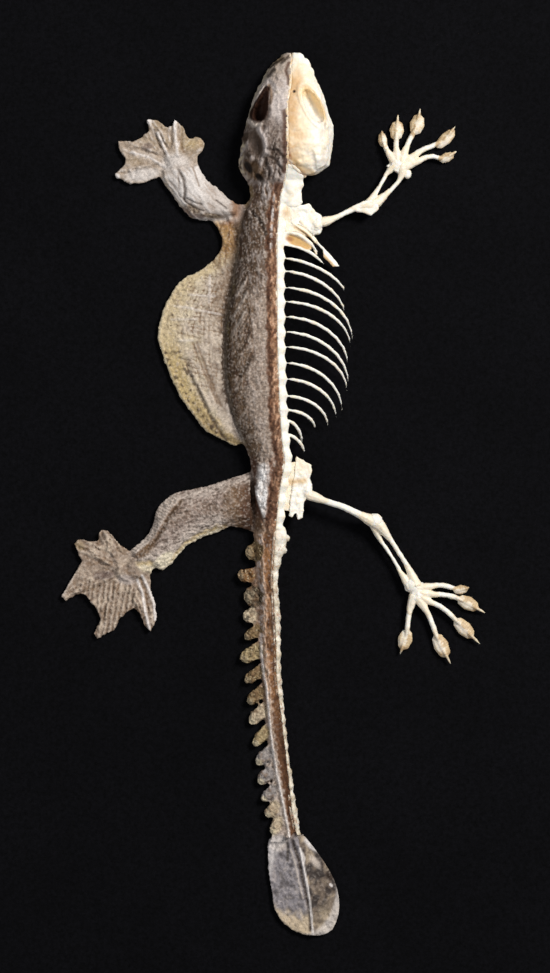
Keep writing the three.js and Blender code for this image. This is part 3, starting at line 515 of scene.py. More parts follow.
def tinted_finish(name, speck_scale, speck_depth, fine_depth, roughness, bump, others):
    """A finish whose colour is the piece's own tint, with specks and a fine surface grain."""
    finish = Finish(name)
    tint = finish.add("VertexColor", {})
    tint.layer_name = "Tint"
    specks = finish.mapped(finish.noise(speck_scale, 3, 0.6), 0.35, 0.65, -speck_depth, speck_depth)
    specks = finish.add("Math", {0: specks, 1: tint.outputs["Alpha"]}, "MULTIPLY").outputs[0]
    small = finish.noise(4200, 4, 0.65)
    fine = finish.mapped(small, 0.3, 0.7, 1 - fine_depth, 1 + fine_depth)
    factor = finish.add("Math", {0: specks, 1: fine}, "ADD").outputs[0]
    finish.fill(finish.shader, {
        "Base Color": finish.scaled(tint.outputs["Color"], factor),
        "Roughness": finish.mapped(small, 0.3, 0.7, roughness - 0.08, roughness + 0.08),
        "Normal": finish.bump(small, bump),
    })
    finish.fill(finish.shader, others)
    return finish.material


def skin_finish():
    return tinted_finish("dried_skin", 2300, 0.34, 0.14, 0.7, 0.00006, {"Specular IOR Level": 0.3})


def bone_finish():
    return tinted_finish("dry_bone", 700, 0.03, 0.025, 0.5, 0.00002, {
        "Specular IOR Level": 0.35, "Subsurface Weight": 0.2,
        "Subsurface Radius": (1.0, 0.75, 0.5), "Subsurface Scale": 0.0005,
    })


# Skin side

def solid_tree(names):
    """The faces of some CAD solids for measuring, and the number of the solid of each face."""
    owners, corners, faces = [], [], []
    for index, name in enumerate(names):
        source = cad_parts[name]
        offset = len(corners)
        corners += [source.matrix_world @ vertex.co / MM for vertex in source.data.vertices]
        for face in source.data.polygons:
            faces.append([offset + corner for corner in face.vertices])
            owners.append(index)
    return BVHTree.FromPolygons(corners, faces), owners


def region_masks(places):
    """For each flesh solid, which vertices of the kneaded skin lie nearest to it."""
    tree, owners = solid_tree(FLESH)
    owner = np.array([owners[tree.find_nearest(Vector(place))[2]] for place in places])
    return {name: owner == index for index, name in enumerate(FLESH)}


def measure_skin(skin):
    """Distances and noise that several regions of the skin share."""
    flat = skin.places * [1, 1, 0.3]
    skin.cut = read(MIDLINE, skin.y) - skin.x
    skin.fold = skin.x - read(SKIN_EDGE, skin.y)
    skin.coarse = grain(flat, 2.6, 1)
    skin.medium = grain(flat, 0.9, 2)
    skin.fine = grain(flat, 0.42, 3, 2)


def paint_trunk_skin(skin):
    """The trunk: a grey band beside the cut, brown flanks with slanting ridges, and painted shade in the deep
    fold.
    """
    x, y = skin.x, skin.y
    skin.paint("grey", 1)
    band = [[46, -5.6], [42, -5.8], [38, -4.8], [32, -4.5], [26, -4.4], [21, -5.4], [15, -5.2], [9, -3.4]]
    brown = ramp(x - read(band, y) + 1.1 * skin.coarse, 0.8, -0.8)
    skin.paint("brown", 0.85 * brown)
    upper = ramp(y + 2 * skin.coarse, 36, 44)
    skin.paint("upper skin", upper)
    skin.paint("brown", 0.4 * upper)
    upright = skin.streaks(96, 3.0, 0.45, 4)
    skin.paint("dark", (0.22 + 0.15 * upper) * ramp(upright, 0.1, 0.7) + 0.25 * upper)
    skin.paint("lilac", (0.3 + 0.1 * upper) * ramp(upright, -0.15, -0.7))
    ridges = skin.streaks(60, 3.0, 0.36, 5)
    slanting = brown * ramp(y, 47, 43)
    skin.paint("pale", 0.32 * slanting * ramp(ridges, 0.15, 0.7))
    skin.paint("dark", 0.6 * slanting * ramp(ridges, 0.0, -0.6))
    skin.raise_by(0.12 * slanting * ridges - 0.04 * upright)
    patches = grain(skin.places, (1.3, 2.6, 9), 6)
    skin.paint("umber", 0.55 * ramp(patches, 0.15, 0.7) * (0.15 + 0.85 * brown))
    dots = ramp(cells(skin.places * [1, 1, 0], 1.3, 11), 0.2, 0.1)
    skin.paint("line", 0.6 * dots * (1 - brown) * (1 - upper))
    for points in ([(-9, 36.2), (-6, 40.7)], [(-8.6, 33.4), (-5.6, 38.4)], [(-8.8, 30), (-6, 34.6)]):
        skin.ridge(points, 0.45, 0.6, 0.2)
    skin.crease([(-6.9, 21.9), (-5.9, 23.6), (-4.9, 25.6)], 0.75, 0.8, 0.2, "dark")
    skin.crease([(-6.4, 28), (-5.2, 30.6)], 0.5, 0.6, 0.15, "dark")
    # Dark along the fold to the flying skin, and the olive hollow tone on the upper flank beside it: painted
    # shade in the fold. The olive patches within it are the skin's colour.
    fold = ramp(skin.fold + 0.6 * skin.medium, 1.7, 0.6) * ramp(y, 3, 12) * ramp(y, 45, 38)
    skin.paint("dark", 0.9 * fold)
    olive = fold * (near(y, 31.5, 3.5) + 0.7 * near(y, 40, 3) + 0.3)
    skin.paint("olive", 0.8 * olive * ramp(skin.medium, -0.2, 0.5))
    flank = ramp(skin.fold, 1.7, 0.4) * ramp(y, 38, 44)
    skin.paint("olive hollow", 0.7 * flank * ramp(skin.medium, 0.6, -0.3))
    skin.crease([(-4.6, 54.6), (-3.25, 52.95), (-2, 50.7), (-1.6, 48.2)], 0.55, 0.9, 0.35)
    # Dark patch under the arm: painted shade in the armpit.
    skin.paint("dark", 0.55 * skin.patch(-5.2, 53.6, 2.2, 1.2, -55))
    skin.speckle(0.5)


def paint_stripe(skin):
    """The ragged brown stripe where the skin was cut along the spine."""
    y = skin.y
    wide = 1.9 + 0.25 * skin.medium + 0.25 * skin.coarse
    stripe = ramp(skin.cut, wide + 0.3, wide - 0.3) * ramp(y, 64, 60)
    fibres = skin.streaks(84, 2.2, 0.34, 7)
    blotch = grain(skin.places, (0.9, 2.4, 9), 7)
    skin.paint("flesh brown", stripe)
    skin.paint("rust", 0.6 * stripe * ramp(blotch, -0.2, 0.4))
    skin.paint("salmon", 0.85 * stripe * ramp(fibres, -0.05, -0.5) * ramp(skin.cut, 1.6, 1.0))
    skin.paint("umber", 0.9 * stripe * ramp(fibres, 0.1, 0.55))
    outer_edge = near(skin.cut, wide - 0.3, 0.75) * ramp(y, 63, 60)
    skin.paint("umber", 0.95 * outer_edge * ramp(fibres, -1.0, -0.3))
    skin.paint("dark", 0.5 * stripe * ramp(blotch, 0.4, 0.9))
    skin.paint("pale amber", 0.3 * ramp(skin.cut, 0.35, 0.1) * ramp(skin.medium, 0.1, -0.5))
    upper = stripe * ramp(y, 45, 49)
    skin.paint("umber", 0.75 * upper * ramp(fibres, -0.9, -0.2))
    thread = near(skin.cut, 1.05, 0.34) * ramp(y, 46, 48) * ramp(y, 59, 57)
    skin.paint("bleached", 0.75 * thread * ramp(skin.medium + 0.5 * skin.fine, -0.5, 0.1))
    skin.paint("umber", 0.6 * stripe * ramp(y, 16, 11) * ramp(skin.medium, -0.5, 0.3))
    skin.paint("umber", 0.85 * ramp(skin.cut + 0.3 * skin.medium, 1.1, 0.5) * ramp(y, 57, 60))
    skin.raise_by(-0.2 * near(skin.cut, wide - 0.1, 0.6) * ramp(y, 63, 60) + 0.12 * stripe * fibres)


def paint_neck(skin):
    """The neck: pale upright streaks over brown, with a tan left side."""
    skin.paint("upper skin", 1)
    streaks = skin.streaks(94, 3.2, 0.75, 8)
    skin.paint("lilac", 0.85 * ramp(streaks, 0.0, 0.5))
    skin.paint("brown", 0.6 * ramp(streaks, -0.05, -0.4))
    skin.paint("dark", 0.8 * ramp(streaks, -0.3, -0.8))
    skin.raise_by(0.3 * streaks)
    skin.paint("umber", 0.5 * ramp(skin.fold, 2.2, 1.2))
    skin.paint("khaki", 0.8 * ramp(skin.fold, 1.2, 0.3))
    skin.speckle(0.35)


def paint_hips(skin):
    """The hips: a long bleached patch with painted light on its slope, and painted shade in dark brown where
    the thigh joins.
    """
    y = skin.y
    skin.paint("leg", ramp(y, 6, 2))
    skin.paint("brown", 0.7 * ramp(skin.streaks(93, 2.0, 0.5, 9), 0, 0.6) * ramp(y, 5, 3))
    # Umber left of the groin line: painted shade in the valley where the thigh joins the hips.
    groin = [[3, -3.6], [0, -3.5], [-5, -2.9], [-9, -2.2]]
    skin.paint("umber", 0.9 * ramp(skin.x - read(groin, y), 0.3, -0.3))
    skin.paint("brown", 0.6 * ramp(y, -4, -8))
    skin.speckle(0.45)
    # The bleached patch is painted whiter than the skin is: painted light that offsets the shade on its
    # left-facing slope.
    fade = 0.75 + 0.5 * skin.medium
    lower = ramp(skin.drop((-2.8, -1.1, 1.7), (-2.0, -5.9, 0.5)), 1.1, 0.6)
    white = np.maximum(skin.stroke([(-2.3, 3.4), (-2.5, 0.6)], 1.6), lower)
    skin.paint("white skin with painted light", np.clip(1.1 * white * fade, 0, 1))
    skin.raise_by(0.35 * white)
    lengthwise = skin.streaks(88, 2.4, 0.35, 29)
    skin.paint("rust", 0.6 * ramp(skin.x, -1.9, -1.2) * ramp(lengthwise, -0.2, 0.4))
    skin.crease([(-4.3, 3.4), (-4.4, 0), (-3.7, -3.4), (-2.6, -7)], 0.4, 0.9, 0.2, "umber")


def paint_head(skin):
    """The head: wrinkled grey skin, an empty eye with a pale rim and painted shade inside it, and a sunken
    temple with painted shade and a painted highlight on its ridge.
    """
    x, y, z = skin.x, skin.y, skin.z
    skin.paint("lilac", 1)
    skin.paint("upper skin", 0.9 * ramp(y + 0.5 * x + 0.9 * skin.coarse, 75.5, 70.5))
    folds = skin.streaks(78, 3.0, 0.6, 9)
    low = ramp(y, 74, 68)
    skin.paint("lilac", 0.7 * ramp(folds, 0.05, 0.6) * low)
    skin.paint("dark", 0.8 * ramp(folds, -0.05, -0.6) * ramp(y, 73, 67))
    temple = skin.oval(-3.8, 68.0, 3.4, 1.7, 103)
    skin.raise_by(0.35 * folds * low * ramp(temple, 0.8, 1.2) + 0.12 * skin.medium)
    skin.speckle(0.3)
    skin.paint("grey", 0.5 * ramp(skin.coarse, 0.0, 0.7) * ramp(y, 74, 77))
    skin.paint("flap beige", 0.3 * ramp(skin.coarse, 0.1, -0.6) * ramp(y, 76, 79))
    skin.paint("lobe tip", 0.55 * ramp(skin.fold, 0.7, 0.2) * ramp(y, 71, 74))
    skin.paint("khaki", 0.35 * ramp(y, 80, 83) + 0.5 * skin.patch(0.6, 85.2, 2.1, 1.1, 25, 0.8))
    skin.crease([(-1.0, 83.9), (0.2, 84.6), (1.6, 85.5)], 0.55, 0.9, 0.2)
    skin.crease([(1.3, 84.5), (2.2, 85.3), (2.7, 86.0)], 0.5, 0.8, 0.12)
    skin.crease([(-1.4, 81.9), (-0.8, 82.7), (-0.3, 83.1)], 0.7, 0.8, 0.3, "line")
    skin.crease([(2.7, 84.4), (2.1, 82.8), (2.6, 81.4), (2.6, 80.0)], 0.5, 0.9, 0.15, "umber")
    skin.crease([(1.75, 74.4), (2.0, 72), (1.9, 69), (2.1, 66), (1.8, 62.6)], 0.85, 0.9, 0.15, "umber")
    eye = skin.drop((-3.2, 74.45, 1.95), (-1.7, 79.2, 0.6))
    outer = ramp(skin.side([(-4.9, 72), (-1.6, 80)]), -0.6, 0.3)
    skin.paint("pale", 0.9 * near(eye, 1.3, 0.3) * outer)
    skin.raise_by(0.3 * near(eye, 1.35, 0.4))
    # Brown along the right rim of the eye: painted shade on the side of the opening away from the light.
    skin.crease([(-1.2, 79.9), (-0.8, 78.6), (-0.7, 77.4), (-1.0, 76.2)], 0.6, 0.85, 0.15, "brown")
    skin.crease([(-0.9, 76.6), (-1.1, 74.6), (-2.0, 73)], 0.6, 0.6, 0.05, "upper skin")
    skin.ridge([(-5.2, 73.0), (-4.3, 71.7), (-2.8, 71.9)], 0.6, 0.85, 0.25, "pale")
    # Upper skin and dark in the sunken temple, darkest towards its upper left: painted shade in the hollow.
    # The lilac on its right-edge ridge is a painted highlight.
    skin.paint("upper skin", 0.85 * ramp(temple, 1.05, 0.6))
    skin.paint("dark", 0.8 * ramp(temple, 1.0, 0.5) * ramp(x + 0.25 * (y - 68), -5.2, -2.6))
    skin.raise_by(-0.8 * ramp(temple, 1.1, 0.3))
    skin.ridge([(-3.3, 71.0), (-2.1, 68.9), (-1.7, 66.2)], 0.75, 0.9, 0.4, "lilac")
    skin.crease([(-1.5, 67), (0.6, 66.6), (1.8, 64.9)], 0.45, 0.85, 0.25)
    skin.crease([(-1.0, 65.4), (0.2, 64.8), (1.2, 63.2)], 0.4, 0.8, 0.2)
    skin.crease([(-2.2, 65.2), (-1.4, 63.4), (-1.2, 61.6)], 0.45, 0.7, 0.2)
    skin.paint("brown", 0.8 * skin.patch(-4.2, 62.9, 3.4, 1.9, -48))
    # Near-black hollow tone in the two openings below the temple: painted shade in the holes.
    for hole in ((-5.3, 63.6, 1.7, 0.8, -62), (-3.0, 61.3, 1.6, 0.75, -52)):
        skin.paint("hollow", skin.patch(*hole, 0.4))
        skin.raise_by(-0.6 * skin.patch(*hole, 0.8))
    flecks = ramp(skin.medium, -0.3, 0.3) * ramp(y, 61, 62.5) * ramp(y, 69.5, 68) * ramp(skin.fold, 1.1, 0.4)
    skin.paint("flap beige", 0.9 * flecks)
    skin.paint("lobe tip", 0.7 * flecks * near(y, 67.6, 1.6))
    skin.paint("dark", 0.8 * skin.patch(-5.9, 69.8, 1.3, 0.9, 80))
    # Deep brown eye tone low in the eye's opening: painted shade in the hole.
    skin.paint("eye", ramp(eye, 1.15, 0.9) * ramp(z, 14.4, 12.6))
    skin.set_speck(0.45)


def paint_flap(skin):
    """The flying skin: finely creased both ways near the body, yellower and spotted at its rim."""
    x, y = skin.x, skin.y
    rim = read(FLAP_RIM, y)
    share = np.clip(-skin.fold / np.maximum(x - skin.fold - rim, 0.5), 0, 1.2)
    inwards = x - rim
    skin.paint("flap grey", 1)
    skin.paint("flap beige", ramp(share + 0.3 * skin.coarse, 0.3, 0.8))
    yellow = ramp(inwards + 0.9 * skin.coarse, 5.0, 2.4) * (0.5 + 0.5 * ramp(y, 32, 24))
    skin.paint("flap yellow", yellow)
    skin.paint("khaki", 0.5 * yellow * ramp(y, 20, 12))
    skin.paint("upper skin", 0.65 * ramp(share, 0.6, 0.05) * ramp(skin.coarse, -0.4, 0.5))
    skin.paint("brown", 0.6 * ramp(share, 0.4, 0.05) * ramp(y, 30, 36))
    wobble = 0.35 * skin.coarse + 0.15 * skin.medium
    across = np.cos(2 * math.pi * ((y + 0.18 * (x + 14)) / 0.8 + wobble))
    along = np.cos(2 * math.pi * (share * 12.5 + wobble))
    woven = ramp(share + 0.2 * skin.coarse, 0.95, 0.5) * ramp(y, 17, 22) * ramp(y, 45, 42)
    woven *= 0.5 + 0.5 * ramp(np.abs(y - 28), 1, 4)
    patchy = 0.2 + 0.8 * ramp(grain(skin.places, (1.4, 1.4, 9), 12), -0.4, 0.4)
    lines = woven * patchy * (0.8 * ramp(across, 0.2, 0.9) + 0.8 * ramp(along, 0.3, 0.95))
    skin.paint("brown", lines)
    skin.raise_by(-0.16 * np.clip(lines, 0, 1))
    for points in (
        [(-16.7, 35.5), (-10.5, 34.3)], [(-20.7, 33.4), (-15.7, 33.4)], [(-20.2, 36.1), (-16.5, 35.6)],
        [(-19, 29.1), (-16.5, 29.2)], [(-13, 42.2), (-13.2, 36.7)], [(-17, 38.3), (-12, 38)],
    ):
        skin.ridge(points, 0.36, 0.4, 0.1, "bleached")
    for points in (
        [(-16.5, 28.7), (-15.2, 25.2), (-13.7, 21.7), (-11.6, 16.6)],
        [(-15.7, 28.7), (-14.2, 24.7), (-12.7, 20.5), (-10.8, 16)],
    ):
        skin.crease(points, 0.4, 0.7, 0.15, "brown")
    seam = [(-17.5, 24.4), (-16.5, 21), (-15.4, 19.2), (-13.5, 15), (-11, 10.7), (-9.8, 9.1)]
    skin.crease(seam, 0.6, 0.85 * ramp(skin.medium, -0.9, -0.2), 0.2, "dark")
    skin.ridge([(-16.6, 23), (-14.8, 19.4), (-12.8, 15.2)], 0.5, 0.5, 0.12, "flap grey")
    spots = [
        (-20.5, 34.2, 0.25), (-20.9, 32.1, 0.18), (-21.9, 26.7, 0.3), (-21.6, 25.3, 0.4), (-21, 24.2, 0.3),
        (-18.1, 23.4, 0.3), (-17.6, 22.7, 0.4), (-19.9, 21.8, 0.42), (-18.6, 20.2, 0.25), (-17.9, 18.6, 0.25),
        (-16.9, 19.2, 0.2), (-17.4, 17.1, 0.35), (-15.3, 15.3, 0.4), (-12.7, 11.9, 0.45), (-14.4, 14, 0.25),
        (-11.8, 10.7, 0.25), (-13.6, 13.4, 0.2), (-16.4, 16.6, 0.2), (-17.6, 36.6, 0.2), (-17.6, 34.2, 0.22),
    ]
    for spot_x, spot_y, size in spots:
        spot = skin.oval(spot_x, spot_y, 1.5 * size, 1.15 * size, -50) + 0.35 * skin.fine
        skin.paint("dark", 0.85 * ramp(spot, 1.1, 0.45))
    skin.crease([(-20.75, 26.95), (-19.9, 26.7), (-19, 26.9)], 0.35, 0.7, 0.1, "dark")
    skin.crease([(-19.25, 25.7), (-18.2, 25.4), (-17, 25.2)], 0.35, 0.7, 0.1, "dark")
    dashes = grain(skin.places, (0.6, 0.6, 9), 14)
    skin.paint("dark", 0.5 * ramp(dashes, 0.5, 0.9) * ramp(inwards, 5, 3) * ramp(y, 28, 18))
    skin.paint("brown", 0.4 * ramp(dashes, -0.4, -0.8) * ramp(inwards, 5, 3))
    # Pale along the rim: a painted highlight on the raised edge of the flying skin.
    skin.paint("lobe tip", 0.6 * ramp(inwards, 0.5, 0.2))
    skin.raise_by(0.12 * near(inwards, 0.4, 0.5))
    streaks = skin.streaks(96, 2.2, 0.45, 16)
    upper = ramp(y, 41, 45)
    skin.paint("brown", 0.75 * upper * ramp(streaks, 0.0, 0.6))
    skin.paint("amber", ramp(y, 44, 49) * (0.9 + 0.2 * skin.coarse))
    lit = near(inwards, 0.5, 0.9) + skin.patch(-11.8, 52.9, 1.6, 0.7)
    skin.paint("pale amber", 0.6 * ramp(y, 47, 50) * lit)
    skin.paint("umber", 0.6 * ramp(y, 45, 49) * ramp(streaks, 0.0, 0.6))
    skin.paint("rust", 0.75 * skin.patch(-9.0, 53.0, 2.6, 1.0, 10, 0.8))
    # Umber under the arm, dark along the fold to the trunk and dark at the flap's edge of the fold: painted
    # shade in the armpit and the fold.
    skin.paint("umber", 0.8 * skin.patch(-7.6, 53.0, 1.3, 2.8, 10, 0.8))
    skin.paint("dark", 0.9 * skin.stroke([(-7.4, 54), (-7.4, 49), (-8, 44.5), (-8.6, 39)], 1.5))
    skin.paint("dark", ramp(-skin.fold + 0.5 * skin.medium, 1.1, 0.3) * ramp(y, 42, 38))
    skin.ridge([(-9.6, 16.2), (-8.8, 13.7), (-7.3, 10.4), (-5.9, 8.5)], 0.6, 0.7, 0.15, "pale")
    skin.paint("pale", 0.4 * ramp(skin.fine, 0.2, 0.8))
    skin.paint("upper skin", 0.45 * ramp(skin.fine, -0.2, -0.8))
    skin.raise_by(0.06 * skin.fine + 0.12 * skin.medium)
    skin.set_speck(0.5)


def paint_arm(skin):
    """The arm: pale dried skin with dark lengthwise creases, and a dark scaly band at the elbow."""
    x, y = skin.x, skin.y
    skin.paint("arm", 1)
    length = skin.streaks(-50, 4.5, 0.5, 15)
    skin.paint("grey", 0.55 * ramp(length, 0.15, 0.7))
    skin.paint("bleached", 0.4 * ramp(length, 0.0, -0.6))
    skin.paint("grey", 0.35 * ramp(x, -16, -12))
    skin.raise_by(-0.14 * length)
    skin.paint("hand", 0.5 * ramp(y, 61, 64.5) * ramp(skin.coarse, -0.6, 0.3))
    # Khaki along the arm's left edge: partly its colour, partly painted shade on the side away from the
    # light.
    left = ramp(skin.side([(-22, 62.4), (-20.1, 58.2), (-18.2, 55.9)]), 0.5, -0.5)
    skin.paint("khaki", 0.6 * left * ramp(skin.medium, -0.8, 0.2))
    skin.crease([(-19.6, 63.9), (-18.3, 61.3), (-18, 59.1), (-18.2, 57.4)], 0.5, 0.85, 0.25, "dark")
    skin.crease([(-17.7, 64.9), (-16.4, 63.7), (-15.6, 61.3), (-15.2, 60.1)], 0.3, 0.7, 0.12, "brown")
    skin.crease([(-19.4, 62.6), (-19.2, 59.6)], 0.3, 0.5, 0.1, "brown")
    skin.crease([(-11.8, 57.2), (-10.6, 56.3), (-9.6, 55.5)], 0.3, 0.8, 0.1, "dark")
    skin.crease([(-13.4, 56.6), (-12, 55.6)], 0.25, 0.6, 0.08, "brown")
    elbow = np.maximum(skin.patch(-16.4, 55.4, 2.4, 1.1, -24), skin.patch(-12.8, 54.1, 3.0, 0.6, -6))
    scales = ramp(cells(skin.places * [1, 1, 0.3], 0.55, 4), 0.35, 0.6)
    skin.paint("khaki", 0.6 * elbow)
    skin.paint("umber", 0.6 * elbow * scales)
    skin.paint("umber", 0.7 * skin.stroke([(-18.4, 55.6), (-16.8, 54.2), (-14.6, 53.9)], 0.7))
    skin.raise_by(-0.15 * elbow * scales)
    for points in ([(-18, 57), (-16.4, 55.9), (-14.3, 55.1)], [(-17.6, 57.6), (-15.9, 56.7), (-14.6, 56.4)]):
        skin.crease(points, 0.28, 0.85, 0.12)
    skin.paint("flesh brown", 0.9 * ramp(x + 0.3 * skin.medium, -9.2, -8.2))
    skin.paint("umber", 0.6 * ramp(x + 0.3 * skin.medium, -8.2, -6.8))
    skin.set_speck(0.4)


def digit_folds(skin, root, tips, pitch, reach):
    """Folds that run along each digit and spread over the web: 1 on a ridge and -1 in a furrow."""
    sides = np.array([skin.side([root, tip]) for tip in tips])
    nearest = np.abs(sides).min(axis=0)
    away = np.hypot(skin.x - root[0], skin.y - root[1])
    waves = np.cos(2 * math.pi * nearest / pitch + 2.4 * skin.coarse + 1.2 * skin.medium)
    waves = 0.75 * waves + 0.5 * skin.medium
    return waves * ramp(away, 1.5, 4.5) * (0.45 + 0.55 * ramp(nearest, reach, 0.4 * reach))


def paint_hand(skin):
    """The webbed hand: khaki and beige folds along the fingers, pale pointed tips."""
    folds = digit_folds(skin, WRIST, HAND_TIPS, 1.0, 2.6)
    skin.paint("hand", 1)
    skin.paint("khaki", 0.6 * ramp(skin.y + 0.25 * skin.x, 60.5, 64.5) * ramp(skin.coarse, -0.6, 0.2))
    skin.raise_by(0.16 * folds)
    skin.paint("bleached", 0.45 * ramp(folds, 0.3, 1) * (0.8 + 0.4 * skin.medium))
    skin.paint("brown", 0.6 * ramp(folds, -0.3, -1) * (0.85 + 0.5 * skin.medium))
    skin.ridge([(-23.5, 70.8), (-22.5, 68.5), (-21.3, 65.9)], 0.42, 0.85, 0.2, "bleached")
    skin.crease([(-24.2, 71.4), (-23.3, 68.7), (-22.2, 66.6)], 0.35, 0.8, 0.15, "dark")
    skin.ridge([(-20.3, 73.2), (-20, 70.9), (-19.5, 66.2)], 0.42, 0.8, 0.2, "bleached")
    skin.crease([(-19.2, 69.8), (-18.3, 66.9)], 0.4, 0.7, 0.12, "brown")
    skin.ridge([(-28.9, 66.9), (-25.2, 65.9), (-22, 63.9)], 0.4, 0.75, 0.18, "bleached")
    skin.paint("violet", 0.6 * skin.patch(-25.6, 68, 1.5, 1.0, 20))
    skin.paint("khaki", 0.5 * skin.patch(-28.2, 65.2, 2.6, 1.7, 0, 0.9))
    skin.paint("flap yellow", 0.4 * skin.patch(-16.9, 68.6, 2.6, 1.8, 0, 0.9))
    skin.paint("pale amber", 0.35 * skin.patch(-15, 68.8, 1.0, 1.1, 0, 0.9))
    skin.paint("arm", 0.85 * skin.patch(-26.6, 62.4, 4.6, 1.7, 8))
    skin.paint("arm", 0.8 * ramp(skin.oval(WRIST[0] + 0.6, WRIST[1], 3.2, 2.4), 1.2, 0.6))
    for tip_x, tip_y in ((-25.4, 73.1), (-20.3, 73.1), (-31.8, 62)):
        skin.paint("bleached", 0.95 * skin.patch(tip_x, tip_y, 0.9, 0.9))
    skin.speckle(0.3)
    skin.set_speck(0.45)


def paint_leg(skin):
    """The leg: dark speckles, a pale front edge, a yellowish rear rim and a dark shin crease."""
    x, y = skin.x, skin.y
    skin.paint("leg", 1)
    front = np.interp(x, [-29, -25, -22, -16.9, -8.8, -5], [-12.8, -9, -2.8, -0.8, 1.5, 2.8]) - y
    rear = y - np.interp(x, [-24.2, -20.4, -18, -14.2, -11.5, -4.7], [-16.4, -15.2, -12.4, -10.1, -9.2, -9])
    skin.paint("pale", 0.7 * near(front, 1.0, 1.6) * (0.8 + 0.4 * skin.medium))
    skin.paint("brown", 0.4 * near(front, 4.5, 3) * ramp(skin.coarse, -0.3, 0.5))
    skin.paint("pale", 0.75 * ramp(rear + 0.5 * skin.coarse, 5.5, 1.5) * ramp(x, -6, -11))
    streaks = skin.streaks(14, 1.3, 0.42, 18)
    skin.paint("dark", 0.65 * ramp(streaks, 0.15, 0.6))
    skin.paint("pale", 0.45 * ramp(streaks, -0.1, -0.6))
    skin.raise_by(-0.12 * streaks)
    dots = ramp(cells(skin.places * [1, 1, 0], 0.85, 19), 0.34, 0.16)
    skin.paint("line", 0.7 * dots * ramp(front, 1.5, 3))
    shin = [(-18.9, -3.1), (-20.7, -5.3), (-22.2, -7.8), (-23.6, -10.4), (-25.8, -12.5), (-27.8, -14.2)]
    skin.crease(shin, 0.8, 0.8, 0.3, "brown")
    skin.crease(shin, 0.35, 0.7, 0.1, "dark")
    skin.paint("brown", 0.75 * skin.patch(-25.8, -12.8, 3.0, 1.2, 45))
    lower_leg = ramp(skin.side(shin), -0.3, -0.9) * ramp(x, -18.5, -20)
    skin.paint("pale", 0.75 * lower_leg)
    scutes = np.cos(2 * math.pi * (x * 0.5 + y * 0.9) / 0.62)
    skin.paint("brown", 0.55 * lower_leg * ramp(scutes, 0.3, 0.9) * ramp(x, -26, -24.5))
    skin.raise_by(0.1 * lower_leg * scutes)
    rim = ramp(rear + 0.3 * skin.medium, 1.7, 0.7) * ramp(x, -8, -11)
    skin.paint("flap yellow", 0.85 * rim)
    skin.paint("heel", 0.85 * ramp(rear + 0.3 * skin.medium, 0.8, 0.3) * ramp(x, -6.5, -9))
    skin.paint("heel", 0.95 * skin.patch(-22.4, -14.9, 3.0, 1.35, 38, 0.35))
    # Brown, umber and dark towards the hip end of the thigh: painted shade in the valley between thigh and
    # hips.
    low = ramp(y, 1.5, -1)
    skin.paint("brown", 0.85 * ramp(x + 0.6 * skin.coarse, -11.5, -7.5) * low)
    skin.paint("umber", 0.9 * ramp(x + 0.6 * skin.coarse, -8.2, -5.6) * low)
    skin.paint("dark", 0.6 * ramp(x, -6.2, -4.8) * (0.4 + 0.6 * low))
    skin.speckle(0.45)
    skin.set_speck(0.8)


def paint_foot(skin):
    """The webbed foot: folds along the toes, upright ridges in the web and a violet hollow."""
    x, y = skin.x, skin.y
    skin.paint("foot", 1)
    folds = digit_folds(skin, ANKLE, FOOT_TIPS, 1.15, 2.4)
    web = ramp(y, -18.5, -20) * ramp(x, -38.5, -37) * ramp(x, -27.6, -28.4)
    upright = np.cos(2 * math.pi * (x - 0.16 * (y + 19)) / 1.02 + 1.2 * skin.medium + 0.9 * skin.coarse)
    folds = folds * (1 - web) + (0.85 * upright + 0.3 * skin.medium) * web
    skin.raise_by(0.2 * folds)
    skin.paint("foot pale", 0.9 * ramp(folds, 0.1, 0.9) * (0.85 + 0.4 * skin.medium))
    skin.paint("brown", 0.75 * ramp(folds, -0.15, -0.9) * (0.85 + 0.5 * skin.medium))
    skin.paint("dark", 0.6 * ramp(folds, -0.45, -1))
    skin.paint("brown", 0.5 * ramp(skin.coarse, 0.1, 0.7))
    skin.paint("foot pale", 0.5 * ramp(skin.coarse, -0.2, -0.8))
    skin.paint("violet", 0.7 * skin.patch(-34.2, -17.9, 3.0, 1.1, 6))
    skin.paint("lilac", 0.6 * skin.patch(-29.8, -18.8, 2.4, 1.3, -10))
    skin.paint("khaki", 0.7 * skin.patch(-39.3, -11.9, 1.7, 1.1, -35))
    skin.paint("dark", 0.6 * skin.patch(-34.4, -10.2, 0.8, 1.1))
    for points in ([(-26.6, -18), (-25.4, -20.4), (-24.3, -23.3), (-24, -26.8)],
                   [(-27.6, -18.8), (-26.6, -21.4), (-26, -25), (-25.2, -28.6)]):
        skin.ridge(points, 0.42, 0.9, 0.2, "bleached")
    skin.crease([(-27, -18.6), (-25.9, -21.6), (-25.2, -25.6)], 0.4, 0.85, 0.2, "brown")
    skin.ridge([(-39.4, -15.6), (-41, -19), (-42.6, -21.9)], 0.5, 0.7, 0.1, "pale")
    skin.speckle(0.35)
    skin.set_speck(0.6)


